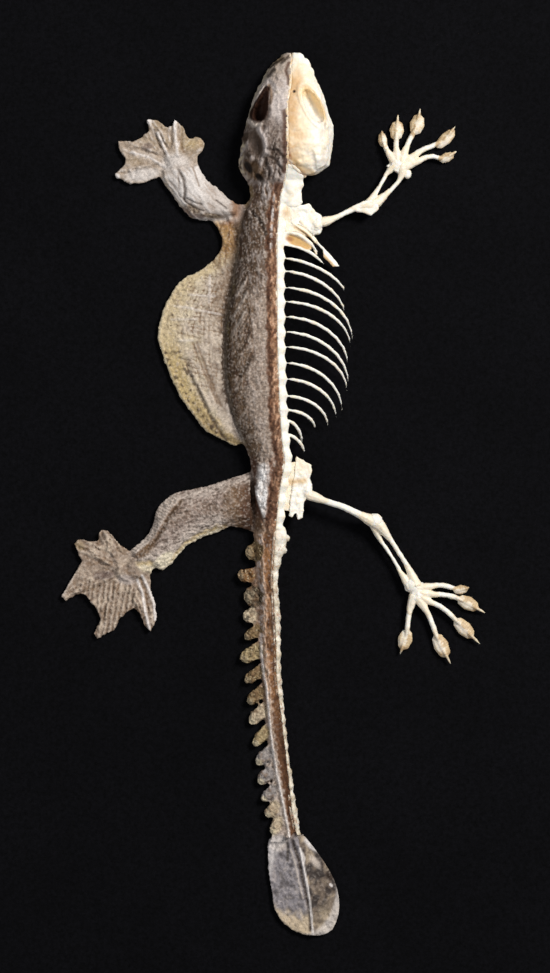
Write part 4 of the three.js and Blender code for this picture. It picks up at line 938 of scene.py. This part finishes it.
def paint_tail(skin):
    """The tail: knobbly lobes, a grey band with a pale ridge, and a brown groove at the cut."""
    x, y = skin.x, skin.y
    rear = ramp(y, -36, -56)
    skin.paint("band", 1)
    skin.paint("lilac", 0.5 * rear)
    skin.paint("salmon", 0.7 * (1 - rear))
    upright = skin.streaks(93, 1.6, 0.4, 22)
    skin.paint("brown", 0.55 * ramp(upright, 0.1, 0.6))
    skin.paint("pale", 0.5 * ramp(upright, -0.2, -0.7))
    skin.raise_by(-0.15 * upright)
    skin.speckle(0.45)
    pits = cells(skin.places, 0.4, 21)
    skin.paint("umber", 0.5 * (1 - rear) * ramp(skin.fold + 0.4 * skin.medium, 0.9, 0.3))
    fleck = near(x - read([[-9, -2.9], [-16, -3.1], [-22, -2.5], [-28, -2.7], [-34, -2.4]], y), 0, 0.8)
    skin.paint("lilac", 0.8 * fleck * ramp(y, -34, -30) * ramp(skin.medium + 0.5 * skin.fine, -0.3, 0.3))
    knobs = np.full(len(y), 9.0)
    gnarl = 1 - 0.5 * ramp(y, -38, -52)
    for lobe_x, lobe_y, long, wide, lean, name in LOBES:
        lobe = skin.oval(lobe_x, lobe_y, long, wide, lean)
        knobs = np.minimum(knobs, lobe)
        inside = ramp(lobe + 0.2 * skin.medium, 1.45, 1.1)
        skin.paint(name, inside)
        # Pale on the raised granules and dark in the pits between them: partly the lobes' own colour, partly
        # painted highlight and painted shade.
        skin.paint("lobe tip", 0.6 * inside * ramp(pits, 0.35, 0.1) * gnarl)
        skin.paint("dark", 0.7 * inside * ramp(pits, 0.4, 0.75) * gnarl)
        skin.paint("brown", 0.6 * inside * ramp(skin.medium, 0.1, 0.7))
        turn = math.radians(lean)
        tip_x = lobe_x - 0.8 * long * math.cos(turn)
        tip_y = lobe_y - 0.8 * long * math.sin(turn)
        tip = skin.oval(tip_x, tip_y, wide, wide)
        skin.paint("lobe tip", 0.6 * ramp(tip, 1, 0.5) * (0.35 + 0.65 * rear))
    # Dark round the outline of each lobe: painted shade in the crevices between the lobes and the tail.
    beside = ramp(read(SKIN_EDGE, y) - x, -0.3, 0.6)
    skin.paint("dark", 0.45 * near(knobs, 1.5, 0.25) * beside)
    on_lobe = ramp(knobs, 1.3, 1.0)
    skin.raise_by((0.25 - 0.35 * ramp(pits, 0.2, 0.6) + 0.25 * skin.medium) * on_lobe * gnarl)
    groove = ramp(x - read(GROOVE, y) + 0.35 * skin.medium, -0.3, 0.3)
    blotch = grain(skin.places, (1.0, 2.6, 9), 23)
    skin.paint("groove", groove)
    skin.paint("groove dark", 0.8 * groove * ramp(blotch, -0.1, 0.45))
    skin.paint("groove dark", 0.6 * groove * near(y, -10, 4))
    skin.paint("band", 0.6 * groove * near(y, -27.5, 6) * ramp(blotch, 0.2, -0.4))
    skin.paint("groove dark", 0.75 * groove * ramp(y, -38, -50))
    skin.paint("lilac", 0.35 * groove * ramp(skin.fine, 0.3, 0.8) * (1 - rear))
    skin.raise_by(-0.45 * groove * ramp(skin.cut, 0.1, 0.5))
    ridge = near(x - read(RIDGE, y), 0, 0.42) * ramp(y, -29, -34)
    skin.paint("bleached", 0.9 * ridge * (0.85 + 0.3 * skin.medium))
    skin.raise_by(0.25 * ridge)
    skin.paint("dark", 0.6 * near(x - read(RIDGE, y), -0.5, 0.3) * ramp(y, -29, -34) * (1 - rear))
    skin.set_speck(0.7)


def paint_tail_end(skin):
    """The end flap: grey with a tan end, darker on the right, and a seam with a pale thread."""
    x, y = skin.x, skin.y
    skin.paint("tail end", 1)
    seam = [(3.3, -70.3), (3.9, -72.4), (4.8, -75), (5.5, -79), (6.4, -82.6), (7.0, -85.7), (7.1, -89)]
    thread = [(5, -72.6), (5.7, -76.2), (6.4, -79.5), (6.9, -82.8), (7.3, -86.2), (7.6, -90)]
    right = ramp(skin.side(thread), -0.2, 0.4)
    mottle = grain(skin.places, (1.5, 1.5, 9), 25)
    skin.paint("end dark", 0.55 * (1 - right) * ramp(mottle, 0.1, 0.7))
    skin.paint("lilac", 0.5 * (1 - right) * ramp(mottle, -0.1, -0.7))
    skin.paint("end brown", right)
    cloud = grain(np.stack([x * 0.8 - y * 0.35, y * 0.6 + x * 0.3, y * 0], 1), 1.6, 27)
    skin.paint("end dark", right * ramp(cloud, -0.1, 0.4))
    skin.paint("end tan", 0.5 * right * ramp(cloud, -0.25, -0.7))
    skin.paint("end dark", 0.95 * skin.patch(7.5, -78.0, 1.3, 0.8, 60))
    skin.paint("line", 0.9 * skin.patch(11, -78.0, 1.2, 1.5))
    skin.paint("bleached", 0.85 * skin.patch(7.6, -71.8, 2.7, 1.3, -40))
    skin.paint("pale", 0.7 * skin.patch(8.0, -75.3, 2.2, 0.9, -50))
    skin.paint("pale", 0.75 * skin.patch(0.6, -71.9, 2.3, 1.7))
    skin.paint("bleached", 0.9 * skin.patch(11.2, -80, 0.6, 0.3, -45))
    border = np.interp(x, [-1, 1, 3.3, 6, 8, 10, 13], [-83, -85.1, -86, -86.4, -86.2, -84.2, -83.5])
    end = ramp(y - border + 0.7 * skin.medium + 0.6 * skin.coarse, 1.6, -1.4)
    skin.paint("end tan", end * (1 - 0.45 * right))
    skin.paint("end brown", 0.8 * end * right * ramp(mottle, -0.4, 0.4))
    skin.paint("bleached", 0.5 * ramp(skin.oval(5.7, -79.8, 7.0, 10.6), 0.9, 1.0))
    skin.crease(seam, 0.62, 0.92, 0.3, "line")
    skin.crease([(2.3, -70.4), (2.6, -72), (2.5, -75)], 0.5, 0.8, 0.2, "olive hollow")
    skin.ridge([(3.1, -72.8), (4.1, -75.7), (4.9, -80), (5.6, -82.6)], 0.3, 0.7, 0.12, "pale")
    skin.ridge(thread, 0.3, 1.0, 0.18, "bleached")
    skin.ridge([(5.2, -73.2), (5.9, -74.6), (5.6, -76)], 0.4, 0.7, 0.1, "bleached")
    veins = skin.streaks(-75, 2.2, 0.4, 26)
    skin.raise_by(0.08 * veins + 0.08 * skin.medium)
    skin.paint("end dark", 0.3 * ramp(veins, 0.2, 0.9))
    skin.speckle(0.2)
    skin.set_speck(0.35)


def lobe_root(x, y, wide, lean):
    """A sheet that joins a lobe of the tail to the tail's edge."""
    edge = float(read(SKIN_EDGE, y))
    turn = math.radians(lean)
    across, up = -0.88 * wide * math.sin(turn), 0.88 * wide * math.cos(turn)
    root_y = y + (edge - x) * math.tan(turn)
    reach = 1.25 * wide + 0.25
    root_x = edge + 0.6
    outline = [(x + across, y + up), (root_x, root_y + reach), (root_x, root_y - reach), (x - across, y - up)]
    return sheet(outline, 1.3, 0.5)


def make_skin(material):
    """One skin for the whole left half."""
    fold_line = SKIN_EDGE[13:20]
    fold_sides = [(x - 0.7, y) for y, x in fold_line] + [(x + 0.7, y) for y, x in reversed(fold_line)]
    fillers = [
        sheet([(-7.9, 56.2), (-5, 56.6), (-4.6, 52), (-7.6, 51.4), (-9.4, 53.4)], 1.5, 0.5),
        sheet([(-22.4, 63.2), (-17.1, 64.9), (-16.6, 63.2), (-22.0, 61.4)], 1.3, 0.5),
        sheet(fold_sides, 1.1, 0.5),
        sheet([(-1.1, -71.4), (4.5, -71.4), (4.4, -69.2), (0.9, -69.0), (-0.5, -69.7)], 1.3, 0.4),
        sheet([(3.9, -70.2), (5.4, -69.8), (6.6, -71.2), (4.4, -71.6)], 0.9, 0.5),
        lump(-2.6, -0.8, 2.9, 1.4, (1, 3.2, 1.05)),
        lump(-27.4, -16.3, 1.1, 1.0, (2.9, 2.1, 1.3), 40),
        lump(-19.8, 63.4, 1.0, 1.0, (2.2, 2.7, 1.3)),
    ]
    fillers += [lobe_root(lobe_x, lobe_y, wide, lean) for lobe_x, lobe_y, _, wide, lean, _ in LOBES]
    solids = [copy_solid(name) for name in FLESH]
    piece = knead(solids + fillers, "gecko_skin", SKIN_VOXEL, swell=0.2, grown=0.06)
    thin_underside(piece)
    skin = Surface(piece, "grey")
    masks = region_masks(skin.places)
    measure_skin(skin)
    for paint, region in (
        (paint_trunk_skin, ["torso_skin", "hip_skin"]), (paint_neck, ["neck_skin"]),
        (paint_hips, ["hip_skin"]), (paint_stripe, ["neck_skin", "torso_skin", "hip_skin"]),
        (paint_head, ["head_skin"]), (paint_flap, ["flank_flap"]),
        (paint_arm, ["upper_arm_skin", "forearm_skin"]), (paint_hand, ["hand_skin"]),
        (paint_leg, ["thigh_skin", "shank_skin"]), (paint_foot, ["foot_skin"]),
        (paint_tail, ["tail_skin_front", "tail_skin_rear"]),
        (paint_tail_end, ["tail_end_left", "tail_end_right"]),
    ):
        skin.on(np.any([masks[name] for name in region], axis=0))
        paint(skin)
    skin.swell = (0.16 * skin.medium + 0.06 * skin.fine) * (1 - skin.up) * ramp(skin.cut, 0.2, 0.8)
    skin.places[:, 0] += 0.28 * ramp(skin.cut, 0.6, 0.1) * (skin.y > -70)
    skin.settle()
    finish_piece(piece, material, FLESH)


# Bone side

def plain(bone):
    """A bone with nothing on it but its own wear."""


def bone_piece(name, solids, voxel, material, paint=plain, extra=(), grown=0.03, smooth=3, rough=0.05):
    piece = knead([copy_solid(solid) for solid in solids] + list(extra), name, voxel, 0.0, grown, smooth)
    bone = Surface(piece)
    bone.worn = grain(bone.places, 1.1, 31)
    bone.paint("cream", 0.55 * ramp(bone.worn, 0.1, 0.8))
    bone.swell = rough * bone.worn
    paint(bone)
    bone.settle()
    finish_piece(piece, material, solids)


def paint_skull(bone):
    """Cream along the midline and the back, white at the sides, and amber inside the eye's opening, painted
    lighter than the bone's own as painted light against the shade there.
    """
    x, y, z = bone.x, bone.y, bone.z
    cloud = grain(bone.places, 2.2, 33)
    from_mid = x - read(MIDLINE, y)
    bone.paint("cream", ramp(from_mid, 6.5, 3) * (0.8 + 0.3 * cloud) * ramp(y, 86, 82))
    bone.paint("peach", 1.1 * ramp(from_mid, 3.6, 0.8) * ramp(y, 84, 80) * (0.8 + 0.5 * cloud))
    bone.paint("deep peach", 0.8 * ramp(from_mid, 2.4, 0.6) * ramp(y, 82, 79) * ramp(y, 70, 73))
    bone.paint("peach", 0.7 * bone.patch(5.0, 69.6, 2.8, 2.2, 20, 0.8))
    bone.paint("peach", 0.6 * bone.patch(4.6, 82.0, 1.5, 2.4, 0, 0.8))
    bone.paint("cream", 0.6 * ramp(cloud, 0.2, 0.8) * ramp(y, 74, 70))
    bone.paint("bone lilac", 0.35 * ramp(cloud, -0.2, -0.8) * ramp(y, 74, 66))
    bone.paint("bone amber", 0.6 * ramp(from_mid, 0.7, 0.25) * ramp(cloud, -0.5, 0.3))
    nape_edge = bone.stroke([(2.6, 67), (2.9, 65.6), (3.3, 64.2)], 0.6)
    bone.paint("bone stain", 0.8 * nape_edge * ramp(cloud, -0.6, 0.2))
    bone.paint("bone stain", 0.6 * bone.stroke([(3.6, 63.9), (4.6, 63.1), (5.8, 62.4)], 0.5))
    bone.paint("bone amber", 0.6 * bone.stroke([(4, 64.4), (5.4, 63), (7.6, 62.2)], 1.0))
    eye = bone.oval(*RIGHT_EYE)
    bone.raise_by(0.22 * near(eye, 1.22, 0.25))
    # Ivory and a lightened amber inside the eye's opening: painted light that offsets the shade in the
    # socket.
    inside = ramp(eye, 1.1, 0.97) * ramp(z, 14.4, 13.2)
    outer = bone.side([(5.4, 79.4), (6.8, 76.3), (9.6, 71.8)])
    bone.paint("ivory", inside)
    bone.paint("orbit amber with painted light", 0.75 * inside * np.maximum(ramp(outer, 0.0, 1.4), ramp(y, 76, 79)))
    bone.paint("bone lilac", 0.5 * inside * ramp(outer, 0.6, -0.6) * ramp(y, 77.5, 76))
    bone.paint("bone amber", 0.5 * near(eye, 1.05, 0.2) * ramp(outer, -0.6, 0.4))
    bone.paint("line", ramp(bone.oval(3.8, 78.5, 0.32, 0.32), 1.2, 0.6))
    bone.raise_by(-0.3 * bone.patch(3.8, 78.5, 0.4, 0.4))
    for points, depth in (
        ([(9.6, 72), (9.5, 70), (9.3, 68.4)], 0.35), ([(7.3, 66.2), (7.7, 64.6), (7.9, 63.2)], 0.3),
        ([(9.9, 66.8), (9.6, 65), (9.9, 63.4)], 0.3), ([(2.6, 74.2), (5.4, 73.4)], 0.06),
        ([(2.6, 66.2), (4.4, 66.9), (6.4, 66)], 0.1),
    ):
        # Lilac in each groove, stronger the deeper the groove is: painted shade in the grooves.
        mark = bone.stroke(points, 0.65)
        bone.paint("bone lilac", 0.55 * mark * min(1, depth * 4))
        bone.raise_by(-depth * mark)
    knobs = ((8.6, 65, 0.9), (10.6, 65.4, 0.9), (6.2, 64.4, 1.2), (10.5, 71.6, 1.0), (4.8, 64.2, 0.8))
    for knob_x, knob_y, size in knobs:
        bone.raise_by(0.3 * bone.patch(knob_x, knob_y, size, size, 0, 0.9))


def paint_ribs(bone):
    """Amber membrane between the first two ribs and a stain at the shoulder."""
    x, y = bone.x, bone.y
    ribs = np.maximum(bone.stroke([(2.2, 50.9), (5, 49.9), (7.6, 48.1), (8.4, 46.4)], 0.6),
                      bone.stroke([(2.2, 47.9), (5, 47.3), (10, 44.2)], 0.7))
    web = bone.patch(5.0, 48.7, 3.4, 1.5, -20, 0.3) * (1 - ribs)
    bone.paint("bone amber", web)
    bone.paint("bone stain", 0.8 * bone.patch(2.9, 49.2, 1.1, 0.7, -10, 0.7) * (1 - ribs))
    bone.raise_by(-0.25 * web)
    bone.paint("peach", 0.7 * bone.patch(2.1, 54.6, 1.3, 2.1, 0, 0.9))
    bone.paint("cream", 0.5 * ramp(x - read(MIDLINE, y), 0.9, 0.3) * ramp(y, 10, -10))
    tail = ramp(y, -7, -14)
    bone.paint("tail bone", tail * (0.55 + 0.5 * bone.worn))
    bone.paint("bone stain", 0.6 * tail * ramp(grain(bone.places, 0.7, 34), 0.3, 0.8))
    bone.swell += 0.12 * tail * grain(bone.places, 0.8, 36)


def paint_blade(bone):
    bone.paint("peach", 0.35 * bone.patch(3.8, 54, 1.8, 1.6, 0, 0.9))
    bone.paint("cream", 0.6 * bone.patch(7.2, 53.4, 0.8, 1.8, 20, 0.9))
    bone.raise_by(0.35 * bone.patch(8.4, 51.6, 1.4, 1.8) - 0.3 * bone.patch(5.4, 54.2, 1.4, 1.2))


def paint_bar(bone):
    off_bar = (bone.x - 6.5) * 0.72 + (bone.y - 50.6) * 0.69
    bone.paint("bone amber", 0.8 * ramp(off_bar, -0.35, -0.6) * ramp(bone.x, 9, 10))


def paint_pelvis(bone):
    bone.paint("bone amber", 0.75 * near(bone.y - 0.15 * (bone.x - 5), 1.0, 1.1) * ramp(bone.x, 7.0, 5.8))
    bone.paint("cream", 0.6 * ramp(bone.y, 2, 4))


def pad_painter(pad):
    """Tan pads under the pale bone ridge, and a horn-coloured claw."""
    pad_x, pad_y, long, wide, claw_x, claw_y = pad
    aim = Vector((claw_x - pad_x, claw_y - pad_y)).normalized()

    def paint(bone):
        along = (bone.x - pad_x) * aim.x + (bone.y - pad_y) * aim.y
        across = (bone.y - pad_y) * aim.x - (bone.x - pad_x) * aim.y
        on_pad = ramp(np.hypot(along / long, across / wide), 1.3, 1.0)
        back = ramp(across + 0.35 * wide * bone.worn, -0.05 * wide, 0.5 * wide)
        front = ramp(-across + 0.35 * wide * bone.worn, 0.45 * wide, 0.95 * wide)
        tip = ramp(along, 0.1 * long, 0.9 * long)
        tan = on_pad * np.clip(0.35 + 0.8 * back + 0.5 * front + 0.5 * tip, 0, 1)
        rows = np.cos(2 * math.pi * along / 0.5)
        bone.paint("pad", tan)
        bone.paint("pad dark", 0.3 * tan * ramp(rows, 0, 1))
        bone.paint("pad dark", 0.6 * tan * np.maximum(tip, 0.6 * back) * ramp(bone.worn, -0.3, 0.5))
        bone.paint("claw", ramp(along, 1.0 * long, 1.25 * long))
        bone.raise_by(0.12 * on_pad * ramp(np.abs(across), 0.4 * wide, 0.1 * wide))
    return paint


def seam_strand():
    """Dried tissue in the cut between skin and bone, level with the lower of their two edges."""
    tree, _ = solid_tree(FLESH + SPINE + ["skull_right"])
    rows = []
    for y in np.arange(86.2, -69.5, -1.4):
        middle = float(read(MIDLINE, y))
        hits = [tree.ray_cast(Vector((middle + side, y, 60)), Vector((0, 0, -1)))[0] for side in (-0.6, 0.6)]
        if None not in hits:
            rows.append((middle, y, min(hit.z for hit in hits) - BOARD_TOP - 0.36))
    return strand(rows, [0.42] * len(rows))


def make_gristle(material):
    """Dried gristle in the joints of the limbs, and ligaments beside the shoulder."""
    sleeves = [strand([row[:3] for row in rows], [row[3] for row in rows]) for rows in SLEEVES]
    for root, knuckle, shaft in DIGIT_ROOTS:
        sleeves.append(strand([(*root, 1.5), (*knuckle, 1.45), (*shaft, 1.4)], [1.05, 0.8, 0.4]))
    shoulder_web = [
        (0.9, 56), (3.3, 55.9), (3.5, 52.2), (5.4, 51.7), (7.4, 50.6), (6.6, 49.6), (4.2, 50.6), (1.4, 50.8),
    ]
    hip_web = [(2.4, 4.6), (4.2, 4.8), (4.2, 0), (3.9, -5.2), (1.5, -4.8), (1.7, 0)]
    collar = [(3.4, 52.6, 5.4), (4.6, 51.6, 5.2), (6.4, 50.6, 4.6), (8.2, 48.6, 3.9)]
    nape = [(2.7, 64.6, 8.2), (3.9, 63.5, 7.8), (5.0, 62.5, 7.0), (5.9, 61.8, 5.4)]
    strands = [
        sheet(shoulder_web, 0.6, 5.5, 0.42),
        sheet(hip_web, 0.8, 3.5),
        strand(collar, [0.3, 0.28, 0.26, 0.22]),
        strand([(7.2, 48.6, 4.4), (7.8, 47.4, 4.1), (8.3, 46.2, 3.9)], [0.3, 0.24, 0.3]),
        strand([(5.0, 53, 4.9), (6.6, 51, 4.2), (8.4, 48.8, 3.2)], [0.45, 0.4, 0.3]),
        strand(nape, [0.5] * 4),
        lump(5.2, 52.3, 4.3, 0.9, (1.7, 0.8, 0.7), -35),
        lump(2.1, 50.9, 5.3, 0.7),
        seam_strand(),
    ]
    gristle = Surface(knead(sleeves + strands, "joint_gristle", GRISTLE_VOXEL, smooth=5))
    worn = grain(gristle.places, 0.8, 35)
    gristle.paint("cream", 0.6 + 0.3 * worn)
    gristle.paint("bone amber", 0.6 * gristle.patch(2.1, 54.6, 1.4, 2.2, 0, 0.9))
    gristle.paint("bone amber", 0.6 * near(gristle.y, 0.8, 1.2) * gristle.patch(3.2, 0.8, 2, 3))
    gristle.paint("bone amber", 0.6 * gristle.stroke([(4, 51.6), (5.8, 50.6), (7, 49.6)], 0.5))
    nape_stains = np.maximum(gristle.patch(2.8, 64.4, 0.9, 0.9), gristle.patch(5.6, 62.1, 1.0, 0.7))
    gristle.paint("bone stain", 0.6 * nape_stains)
    seam = ramp(np.abs(gristle.x - read(MIDLINE, gristle.y)), 0.7, 0.5)
    gristle.paint("peach", (0.5 + 0.4 * worn) * seam * ramp(gristle.y, 62, 66))
    gristle.paint("flesh brown", 0.8 * seam * ramp(gristle.y, 62, 60) * ramp(worn, -0.6, 0.2))
    gristle.swell = 0.05 * worn
    gristle.settle()
    finish_piece(gristle.piece, material)


def make_bones(material):
    snout = [
        lump(4.5, 85.15, 3.4, 1.5, (1, 1.05, 0.5)), lump(5.6, 84, 3.6, 1.5, (1, 1.1, 0.6)),
        lump(6.35, 82.4, 3.7, 1.5, (1, 1.1, 0.6)),
    ]
    bone_piece("skull", ["skull_right"], 0.17, material, paint_skull, snout, smooth=5, rough=0.08)
    bone_piece("lower_jaw", ["jaw_right"], 0.18, material)
    fillers = [
        lump(3.1, 60, 4.2, 1.0, (2.3, 4, 2.5)),
        lump(3.2, 56.35, 4.9, 1.2, (1.7, 0.8, 0.9)),
        lump(2.4, 5.75, 4.8, 1.0, (1, 0.9, 0.9)),
        lump(1.2, -8.75, 3.4, 0.9, (1, 0.9, 0.8)),
    ]
    bone_piece("spine_and_ribs", SPINE, 0.17, material, paint_ribs, fillers, grown=0.04)
    bone_piece("shoulder", ["shoulder_blade"], 0.15, material, paint_blade, rough=0.16)
    bone_piece("breast_bone_bar", ["breast_bar"], 0.12, material, paint_bar)
    bone_piece("hip_bone", ["pelvis"], 0.15, material, paint_pelvis, rough=0.16)
    for solid in ["humerus", "radius", "ulna", "femur", "tibia", "fibula"]:
        bone_piece(solid + "_bone", [solid], 0.12, material, smooth=7)
    bone_piece("wrist", ["hand_bones"], 0.13, material, rough=0.1)
    bone_piece("ankle", ["foot_bones"], 0.13, material, rough=0.1)
    for index in range(5):
        finger, toe = "finger_%d" % (index + 1), "toe_%d" % (index + 1)
        bone_piece(finger + "_bones", [finger], 0.12, material, pad_painter(FINGER_PADS[index]))
        bone_piece(toe + "_bones", [toe], 0.12, material, pad_painter(TOE_PADS[index]))
    make_gristle(material)


# Stage, light and camera

def make_stage():
    bpy.ops.object.select_all(action="DESELECT")
    bpy.ops.mesh.primitive_plane_add(size=3, location=(0, 0, -0.0002))
    floor = bpy.context.active_object
    floor.name = "floor"
    paper = Finish("pale_floor")
    paper.fill(paper.shader, {"Base Color": (0.72, 0.71, 0.69, 1), "Roughness": 0.9})
    floor.data.materials.append(paper.material)


def area_light(name, place, size, power, colour=(1, 1, 1)):
    data = bpy.data.lights.new(name, "AREA")
    data.shape = "DISK"
    data.size = size
    data.energy = power
    data.color = colour
    light = bpy.data.objects.new(name, data)
    bpy.context.collection.objects.link(light)
    light.location = place
    aim = Vector((0, 0, 0.01)) - Vector(place)
    light.rotation_euler = aim.to_track_quat("-Z", "Y").to_euler()


def make_lights():
    area_light("key", (0.45, 0.36, 0.58), 0.26, 7.4, (1, 0.985, 0.96))
    area_light("fill", (-0.55, -0.2, 0.6), 0.7, 1.7, (0.96, 0.98, 1))
    world = bpy.data.worlds.new("studio")
    bpy.context.scene.world = world
    world.use_nodes = True
    background = world.node_tree.nodes["Background"]
    background.inputs["Color"].default_value = (0.9, 0.93, 1, 1)
    background.inputs["Strength"].default_value = 0.16


def make_camera():
    """Straight down on the middle of the picture."""
    data = bpy.data.cameras.new("camera")
    data.sensor_fit = "HORIZONTAL"
    data.sensor_width = 36
    data.lens = data.sensor_width * CAMERA_HEIGHT / PICTURE_WIDTH
    data.clip_start = 0.05
    data.clip_end = 20
    camera = bpy.data.objects.new("camera", data)
    bpy.context.collection.objects.link(camera)
    camera.location = (0, -0.0001, CAMERA_HEIGHT + 0.008)
    bpy.context.scene.camera = camera


make_camera()
make_lights()
make_stage()
bpy.context.scene.view_settings.view_transform = "Standard"

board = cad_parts["board"]
board.data.materials.clear()
board.data.materials.append(board_finish())
make_skin(skin_finish())
make_bones(bone_finish())
